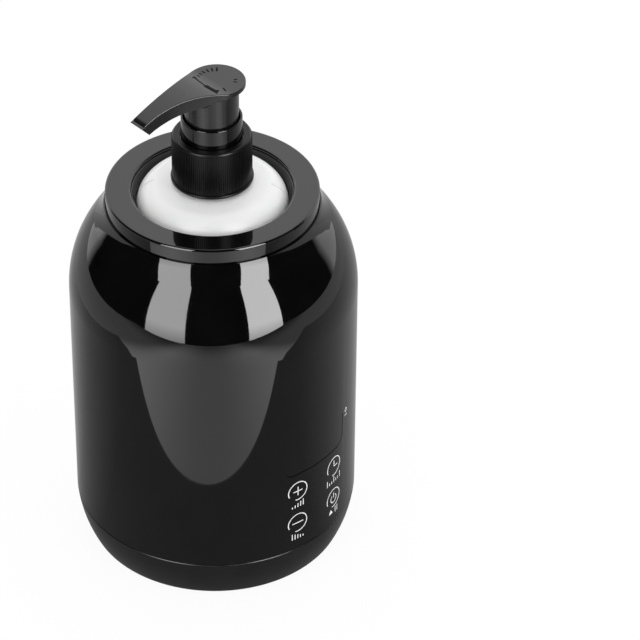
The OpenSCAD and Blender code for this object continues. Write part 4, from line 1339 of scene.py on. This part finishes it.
@dataclass
class OilBottle:
    """The bottle that stands in the well.

    Attributes:
        neck_r: radius of the neck.
        thread_z: height at which the thread begins.
        thread_rise: rise of the thread in one turn.
        thread_turns: turns of the thread.
        thread_w: widths of the thread's foot and of its crest.
        thread_h: height of the thread above the neck, and its depth below the neck's surface.
        foot: radius and height at which the side begins.
        shoulder: radius and height at which the side ends.
        shoulder_r: radius of the shoulder.
        shoulder_sweep: degrees that the shoulder bends before it runs straight to the neck.
        neck_z: height of the neck's foot.
        corner_r: radius of the corner round the base.
        wall: thickness of the wall.
        lip_z: height of the neck's lip.
        lip_r: rounding of that lip.
        bore_r: radius of the neck's bore.
        seam_lift: height of the mould's seam above the wall.
        seam_w: width of that seam, in degrees.
        seam_sweep: degrees of the shoulder that it runs over.
        seam_turns: degrees about the axis at which the two seams run.
    """

    neck_r: float = 11.9
    thread_z: float = 150.2
    thread_rise: float = 4.23
    thread_turns: float = 1.5
    thread_w: Pair = (1.5, 0.6)
    thread_h: Pair = (0.3, 0.15)
    foot: Pair = (25.0, 13.0)
    shoulder: Pair = (26.0, 137.3)
    shoulder_r: float = 9.2
    shoulder_sweep: float = 81.0
    neck_z: float = 147.5
    corner_r: float = 3.0
    wall: float = 1.2
    lip_z: float = 161.9
    lip_r: float = 0.4
    bore_r: float = 8.2
    seam_lift: float = 0.06
    seam_w: float = 0.7
    seam_sweep: float = 70.0
    seam_turns: Pair = (130.0, 310.0)

    def build(self) -> None:
        """Dresses the bottle, blows its rounder form, and gives it its thread and the mould's seams."""
        Stock.dress(Finishes.BOTTLE, "bottle")
        self.blown()
        self.thread()
        for number, turn in enumerate(self.seam_turns, start=1):
            self.mould_seam(f"mould_seam_{number}", turn)

    def blown(self) -> None:
        """Turns the bottle with the broad round shoulder of the real one, hollow, for the plain solid."""
        (foot_r, foot_z), (side_r, side_z) = self.foot, self.shoulder
        low = foot_z - self.corner_r
        corner = foot_r - self.corner_r
        bend = side_r - self.shoulder_r
        inner_r = self.shoulder_r - self.wall
        top_angle = math.radians(self.shoulder_sweep)
        lip_z = self.lip_z - self.lip_r
        form = TurnedForm(0.0, low).line(corner, low).arc(corner, foot_z, 90.0).line(side_r, side_z)
        form.arc(bend, side_z, self.shoulder_sweep, 24).line(self.neck_r, self.neck_z)
        form.line(self.neck_r, lip_z)
        form.arc(self.neck_r - self.lip_r, lip_z, 90.0, 4).line(self.bore_r, self.lip_z)
        form.line(self.bore_r, self.neck_z - self.wall)
        form.line(bend + inner_r * math.cos(top_angle), side_z + inner_r * math.sin(top_angle))
        form.arc(bend, side_z, -self.shoulder_sweep, 24).line(foot_r - self.wall, foot_z)
        form.arc(corner, foot_z, -90.0).line(0.0, low + self.wall)
        made = Stock.piece("blown_bottle", form.turn(), Body.BOTTLE, Slot.WHITE, Finishes.BOTTLE)
        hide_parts("bottle")

    def thread(self) -> None:
        """Winds the closure's thread round the neck."""
        foot_h, crest_h = (width / 2.0 for width in self.thread_w)
        root, crest = self.neck_r - self.thread_h[1], self.neck_r + self.thread_h[0]
        form = TurnedForm(root, self.thread_z - foot_h).line(crest, self.thread_z - crest_h)
        mesh = form.line(crest, self.thread_z + crest_h).line(root, self.thread_z + foot_h).close().mesh
        steps = int(72 * self.thread_turns)
        rise = (0.0, 0.0, self.thread_rise * self.thread_turns / steps)
        bmesh.ops.spin(mesh, geom=mesh.verts[:] + mesh.edges[:], cent=ORIGIN, axis=UP, dvec=rise,
                       angle=math.tau * self.thread_turns, steps=steps, use_merge=False, use_duplicate=False)
        bmesh.ops.holes_fill(mesh, edges=mesh.edges, sides=4)
        bmesh.ops.recalc_face_normals(mesh, faces=mesh.faces)
        settle(mesh, Matrix())
        Stock.piece("neck_thread", mesh, Body.BOTTLE, Slot.WHITE, Finishes.BOTTLE)

    def mould_seam(self, name: str, turn: float) -> None:
        """Draws a fine seam up the bottle's side and over its shoulder.

        Args:
            name: the piece's name.
            turn: degrees about the axis at which it runs.
        """
        (foot_r, foot_z), (side_r, side_z) = self.foot, self.shoulder
        form = TurnedForm(foot_r + self.seam_lift, foot_z).line(side_r + self.seam_lift, side_z)
        mesh = form.arc(side_r - self.shoulder_r, side_z, self.seam_sweep, 10).mesh
        bmesh.ops.spin(mesh, geom=mesh.verts[:] + mesh.edges[:], cent=ORIGIN, axis=UP,
                       angle=math.radians(self.seam_w), steps=1, use_merge=False, use_duplicate=False)
        bmesh.ops.recalc_face_normals(mesh, faces=mesh.faces)
        bmesh.ops.solidify(mesh, geom=mesh.faces[:], thickness=3.0 * self.seam_lift)
        settle(mesh, turned(turn))
        bmesh.ops.recalc_face_normals(mesh, faces=mesh.faces)
        Stock.piece(name, mesh, Body.BOTTLE, Slot.WHITE, Finishes.BOTTLE)


@dataclass
class PumpHead:
    """Sculpted head of the pump, in its own frame: spout along +X, flat top at z 0.

    Attributes:
        turn: degrees that the spout is turned from +X.
        flat_z: height of the flat top.
        back: distance of the round end's centre behind the axis.
        round_r: radius of the round end.
        waist_r: radius of the hollow sides between round end and spout.
        tip: reach and half width of the spout's tip.
        tip_lean: distance by which the tip's lower edge lies behind its upper edge.
        lean_x: distance from the axis at which the sides begin to follow that lean.
        crown: distance and height of the spout's crown.
        arch_r: radius of the spout's arched back.
        blend_r: radius of the hollow between the flat and the arch.
        under: depth below the crown and radius of the arched underside.
        skirt_r: radius of the skirt.
        plate_t: thickness of the head round its back.
        root_r: least radius of the hollow round the skirt.
        flare_r: what the back of the head adds to that radius.
        fillet_r: what the spout's underside adds to it.
        spout_from: share of the way ahead at which the spout's arch begins, and over which it eases in.
        edge_r: rounding along the upper edge.
        slice_w: width of the slices of the arched top.
        rings: number of steps from the side's lower edge in to the skirt.
        inside: radii and heights of the skirt's inside and the stem's socket.
        outlet: width of the wall round the outlet, and the outlet's depth.
    """

    turn: float = 175.0
    flat_z: float = 186.4
    back: float = 2.3
    round_r: float = 9.8
    waist_r: float = 80.0
    tip: Pair = (32.5, 3.0)
    tip_lean: float = 3.2
    lean_x: float = 22.0
    crown: Pair = (13.0, 1.8)
    arch_r: float = 45.0
    blend_r: float = 25.0
    under: Pair = (4.7, 42.0)
    skirt_r: float = 9.25
    plate_t: float = 1.5
    root_r: float = 0.3
    flare_r: float = 2.5
    fillet_r: float = 1.4
    spout_from: Pair = (0.5, 0.42)
    edge_r: float = 0.5
    slice_w: float = 1.2
    rings: int = 16
    inside: tuple[Pair, ...] = (
        (9.25, -14.1), (8.35, -14.1), (8.35, -5.5), (5.1, -5.5), (5.1, -11.6), (3.55, -11.6), (3.55, -4.4))
    outlet: Pair = (1.1, 4.0)

    def build(self) -> None:
        """Makes the head, from its top down to the stem's socket, in place of the plain solid."""
        mesh = self.top()
        rim = [e for e in mesh.edges if e.is_boundary]
        lower = self.grow(mesh, rim, self.side_foot)
        for left in range(self.rings, 0, -1):
            lower = self.grow(mesh, lower, lambda spot, share=1.0 / left: self.inwards(spot, share))
        for radius, height in self.inside:
            lower = self.grow(mesh, lower, lambda spot, r=radius, z=height: self.ring(spot, r, z))
        bmesh.ops.contextual_create(mesh, geom=lower)
        self.open_outlet(mesh)
        bmesh.ops.recalc_face_normals(mesh, faces=mesh.faces)
        bmesh.ops.bevel(mesh, geom=[e for e in rim if e.is_valid], offset=self.edge_r, segments=5,
                        profile=0.5, affect="EDGES", material=-1, clamp_overlap=True)
        settle(mesh, Matrix.Translation((0.0, 0.0, self.flat_z)) @ turned(self.turn))
        made = Stock.piece("sculpted_head", mesh, Body.ACTUATOR, Slot.PUMP, Finishes.HEAD)
        shading = made.modifiers.new("even_shading", "WEIGHTED_NORMAL")
        shading.keep_sharp = True
        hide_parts("actuator_head")

    def top(self) -> Mesh:
        """Draws the head's outline, fills it and lifts it to the arched top.

        Returns:
            The top, with an open edge.
        """
        mesh = bmesh.new()
        round_c = Vector((-self.back, 0.0, 0.0))
        corner = Vector((self.tip[0], -self.tip[1], 0.0))
        waist_c = self.waist_centre(round_c, corner)
        touch = round_c + (waist_c - round_c) * self.round_r / (self.round_r + self.waist_r)
        waist = (corner - waist_c).angle(touch - waist_c)
        half_round = math.pi - math.atan2(-(touch - round_c).y, (touch - round_c).x)
        across = Vector((waist_c.x, -waist_c.y, 0.0))
        tip = first = mesh.verts.new(corner)
        bends = ((waist_c, waist, 20), (round_c, -2.0 * half_round, 64), (across, waist, 20))
        for centre, angle, steps in bends:
            tip = draw_arc(mesh, tip, centre, UP, angle, steps)
        mesh.edges.new((tip, first))
        bmesh.ops.contextual_create(mesh, geom=mesh.edges[:])
        slice_up(mesh, -self.back, self.slice_w, int((self.tip[0] + self.back) / self.slice_w) - 1)
        for vert in mesh.verts:
            vert.co.z = self.top_z(vert.co.x)
        return mesh

    def waist_centre(self, start: Vector, corner: Vector) -> Vector:
        """Finds the centre of the hollow side at -Y, which touches the round end and meets the tip's corner.

        Args:
            start: centre of the round end.
            corner: the tip's corner.

        Returns:
            The centre.
        """
        way = corner - start
        reach = self.round_r + self.waist_r
        along = (way.length_squared + reach ** 2 - self.waist_r ** 2) / (2.0 * way.length)
        unit = way.normalized()
        return start + unit * along + Vector((unit.y, -unit.x, 0.0)) * math.sqrt(reach ** 2 - along ** 2)

    @staticmethod
    def grow(mesh: Mesh, edges: list, place: Callable[[Vector], Vector]) -> list:
        """Draws a closed row of edges out to a new row.

        Args:
            mesh: mesh to work on.
            edges: the row.
            place: gives the new place of a point of the row.

        Returns:
            The new row.
        """
        made = bmesh.ops.extrude_edge_only(mesh, edges=edges)["geom"]
        for vert in verts_in(made):
            vert.co = place(vert.co)
        return [e for e in made if isinstance(e, bmesh.types.BMEdge) and e.is_boundary]

    def top_z(self, x: float) -> float:
        """Gives the top's height: flat, hollow, then arched.

        Args:
            x: distance ahead of the axis.

        Returns:
            The height.
        """
        crown_x, crown_z = self.crown
        start = crown_x - math.sqrt(crown_z * (2.0 * (self.arch_r + self.blend_r) - crown_z))
        change = start + (crown_x - start) * self.blend_r / (self.arch_r + self.blend_r)
        if x <= start:
            return 0.0
        if x <= change:
            return self.blend_r - math.sqrt(self.blend_r ** 2 - (x - start) ** 2)
        return crown_z - self.arch_r + math.sqrt(self.arch_r ** 2 - (x - crown_x) ** 2)

    def under_z(self, x: float, y: float) -> float:
        """Gives the underside's height: a thin plate at the back, eased into the spout's arch.

        Args:
            x: distance ahead of the axis.
            y: distance aside.

        Returns:
            The height, with the hollow round the skirt.
        """
        r = max(math.hypot(x, y), self.skirt_r)
        ahead = x / r
        share = min(max((ahead - self.spout_from[0]) / self.spout_from[1], 0.0), 1.0)
        share = share * share * (3.0 - 2.0 * share)
        depth, radius = self.under
        arch = self.crown[1] - depth - radius + math.sqrt(radius ** 2 - (x - self.crown[0]) ** 2)
        plate = -self.plate_t + (arch + self.plate_t) * share
        hollow_r = self.root_r + self.flare_r * min(ahead, 0.0) ** 2 + self.fillet_r * share
        gap = max(self.skirt_r + hollow_r - r, 0.0)
        return plate - hollow_r + math.sqrt(max(hollow_r ** 2 - gap ** 2, 0.0))

    def side_foot(self, spot: Vector) -> Vector:
        """Gives the lower end of the side below a point of the upper edge.

        Args:
            spot: the point.

        Returns:
            The lower end.
        """
        ahead = max(spot.x - self.lean_x, 0.0) / (self.tip[0] - self.lean_x)
        x = spot.x - self.tip_lean * ahead ** 2
        return Vector((x, spot.y, self.under_z(x, spot.y)))

    def inwards(self, spot: Vector, share: float) -> Vector:
        """Moves a point of the underside in to the skirt.

        Args:
            spot: the point.
            share: share of its way in.

        Returns:
            Its new place.
        """
        radius = math.hypot(spot.x, spot.y)
        scale = 1.0 + (self.skirt_r - radius) * share / radius
        x, y = spot.x * scale, spot.y * scale
        return Vector((x, y, self.under_z(x, y)))

    @staticmethod
    def ring(spot: Vector, radius: float, z: float) -> Vector:
        """Moves a point to a radius and a height, at its own angle."""
        scale = radius / math.hypot(spot.x, spot.y)
        return Vector((spot.x * scale, spot.y * scale, z))

    def open_outlet(self, mesh: Mesh) -> None:
        """Sinks the outlet into the tip's end face.

        Args:
            mesh: the head's mesh.
        """
        end = max(mesh.faces, key=lambda face: face.calc_center_median().x)
        bmesh.ops.inset_individual(mesh, faces=[end], thickness=self.outlet[0])
        bmesh.ops.translate(mesh, vec=(-self.outlet[1], 0.0, 0.0), verts=end.verts)


@dataclass
class LotionPump:
    """The pump on the bottle: closure, collar, head and what hangs in the bottle.

    Attributes:
        head: the sculpted head.
        arrow: distance from the axis and sideways place of the turning arrow's curve.
        arrow_r: radius of that curve.
        arrow_strokes: width in fine lines, first angle and sweep of the arrow's strokes.
        arrow_tips: distance from the curve, sideways place, radius and turn of the arrow's tips.
        tick_r: radius of the ring of ticks.
        tick_l: length of the longest tick.
        tick_rows: first angle from the spout and sweep of each row of ticks.
        ticks: number of ticks in a row.
        line_w: width of a fine line.
        mark_t: thickness of the marks.
    """

    head: PumpHead
    arrow: Pair = (3.3, 0.6)
    arrow_r: float = 30.0
    arrow_strokes: tuple[Triple, ...] = ((1.0, -11.0, 11.5), (3.0, 0.5, 9.0))
    arrow_tips: tuple[Quad, ...] = ((-0.4, 5.6, 1.9, 96.0), (-0.5, -5.3, 1.0, 264.0))
    tick_r: float = 6.4
    tick_l: float = 2.3
    tick_rows: tuple[Pair, ...] = ((-60.0, -72.0), (142.0, -68.0))
    ticks: int = 6
    line_w: float = 0.6
    mark_t: float = 0.02

    def build(self) -> None:
        """Dresses the pump, makes its head and puts the turning marks on it."""
        Stock.dress(Finishes.RIBS, "closure_cap")
        Stock.dress(Finishes.COLLAR, "lock_collar")
        Stock.dress(Finishes.HEAD, "actuator_head")
        Stock.dress(Finishes.NATURAL, "neck_gasket", "pump_cylinder", "dip_tube", "pump_stem", "pump_piston")
        Stock.dress(Finishes.STEEL, "valve_ball", "pump_spring")
        self.head.build()
        self.turning_marks()

    def turning_marks(self) -> None:
        """Draws the turning arrow and the rows of growing ticks, and lays them on the head."""
        art = FlatArt()
        arrow_x, arrow_y = self.arrow
        for lines, start, sweep in self.arrow_strokes:
            art.arc(arrow_x - self.arrow_r, arrow_y, self.arrow_r, lines * self.line_w, start, sweep)
        for aside, along, radius, turn in self.arrow_tips:
            art.dot(arrow_x + aside, along, radius, 3, turn)
        for start, sweep in self.tick_rows:
            for step in range(self.ticks):
                share = step / (self.ticks - 1)
                angle = start + sweep * share
                out = turned(angle) @ Vector((self.tick_r, 0.0, 0.0))
                art.bar(out.x - self.head.back, out.y, self.tick_l * (0.5 + 0.5 * share), self.line_w, angle)
        mesh = art.lay("actuator_head", self.head.turn, self.mark_t)
        Stock.piece("turning_marks", mesh, Body.ACTUATOR, Slot.PUMP, Finishes.MARK)


def main() -> None:
    """Builds the camera, the studio and every dressed piece."""
    logging.basicConfig(level=logging.INFO, format="%(name)s: %(message)s")
    for maker in (PhotoCamera(), Studio(), Housing(), Panel(), OilBottle(), LotionPump(PumpHead())):
        maker.build()


if __name__ == "__main__":
    main()
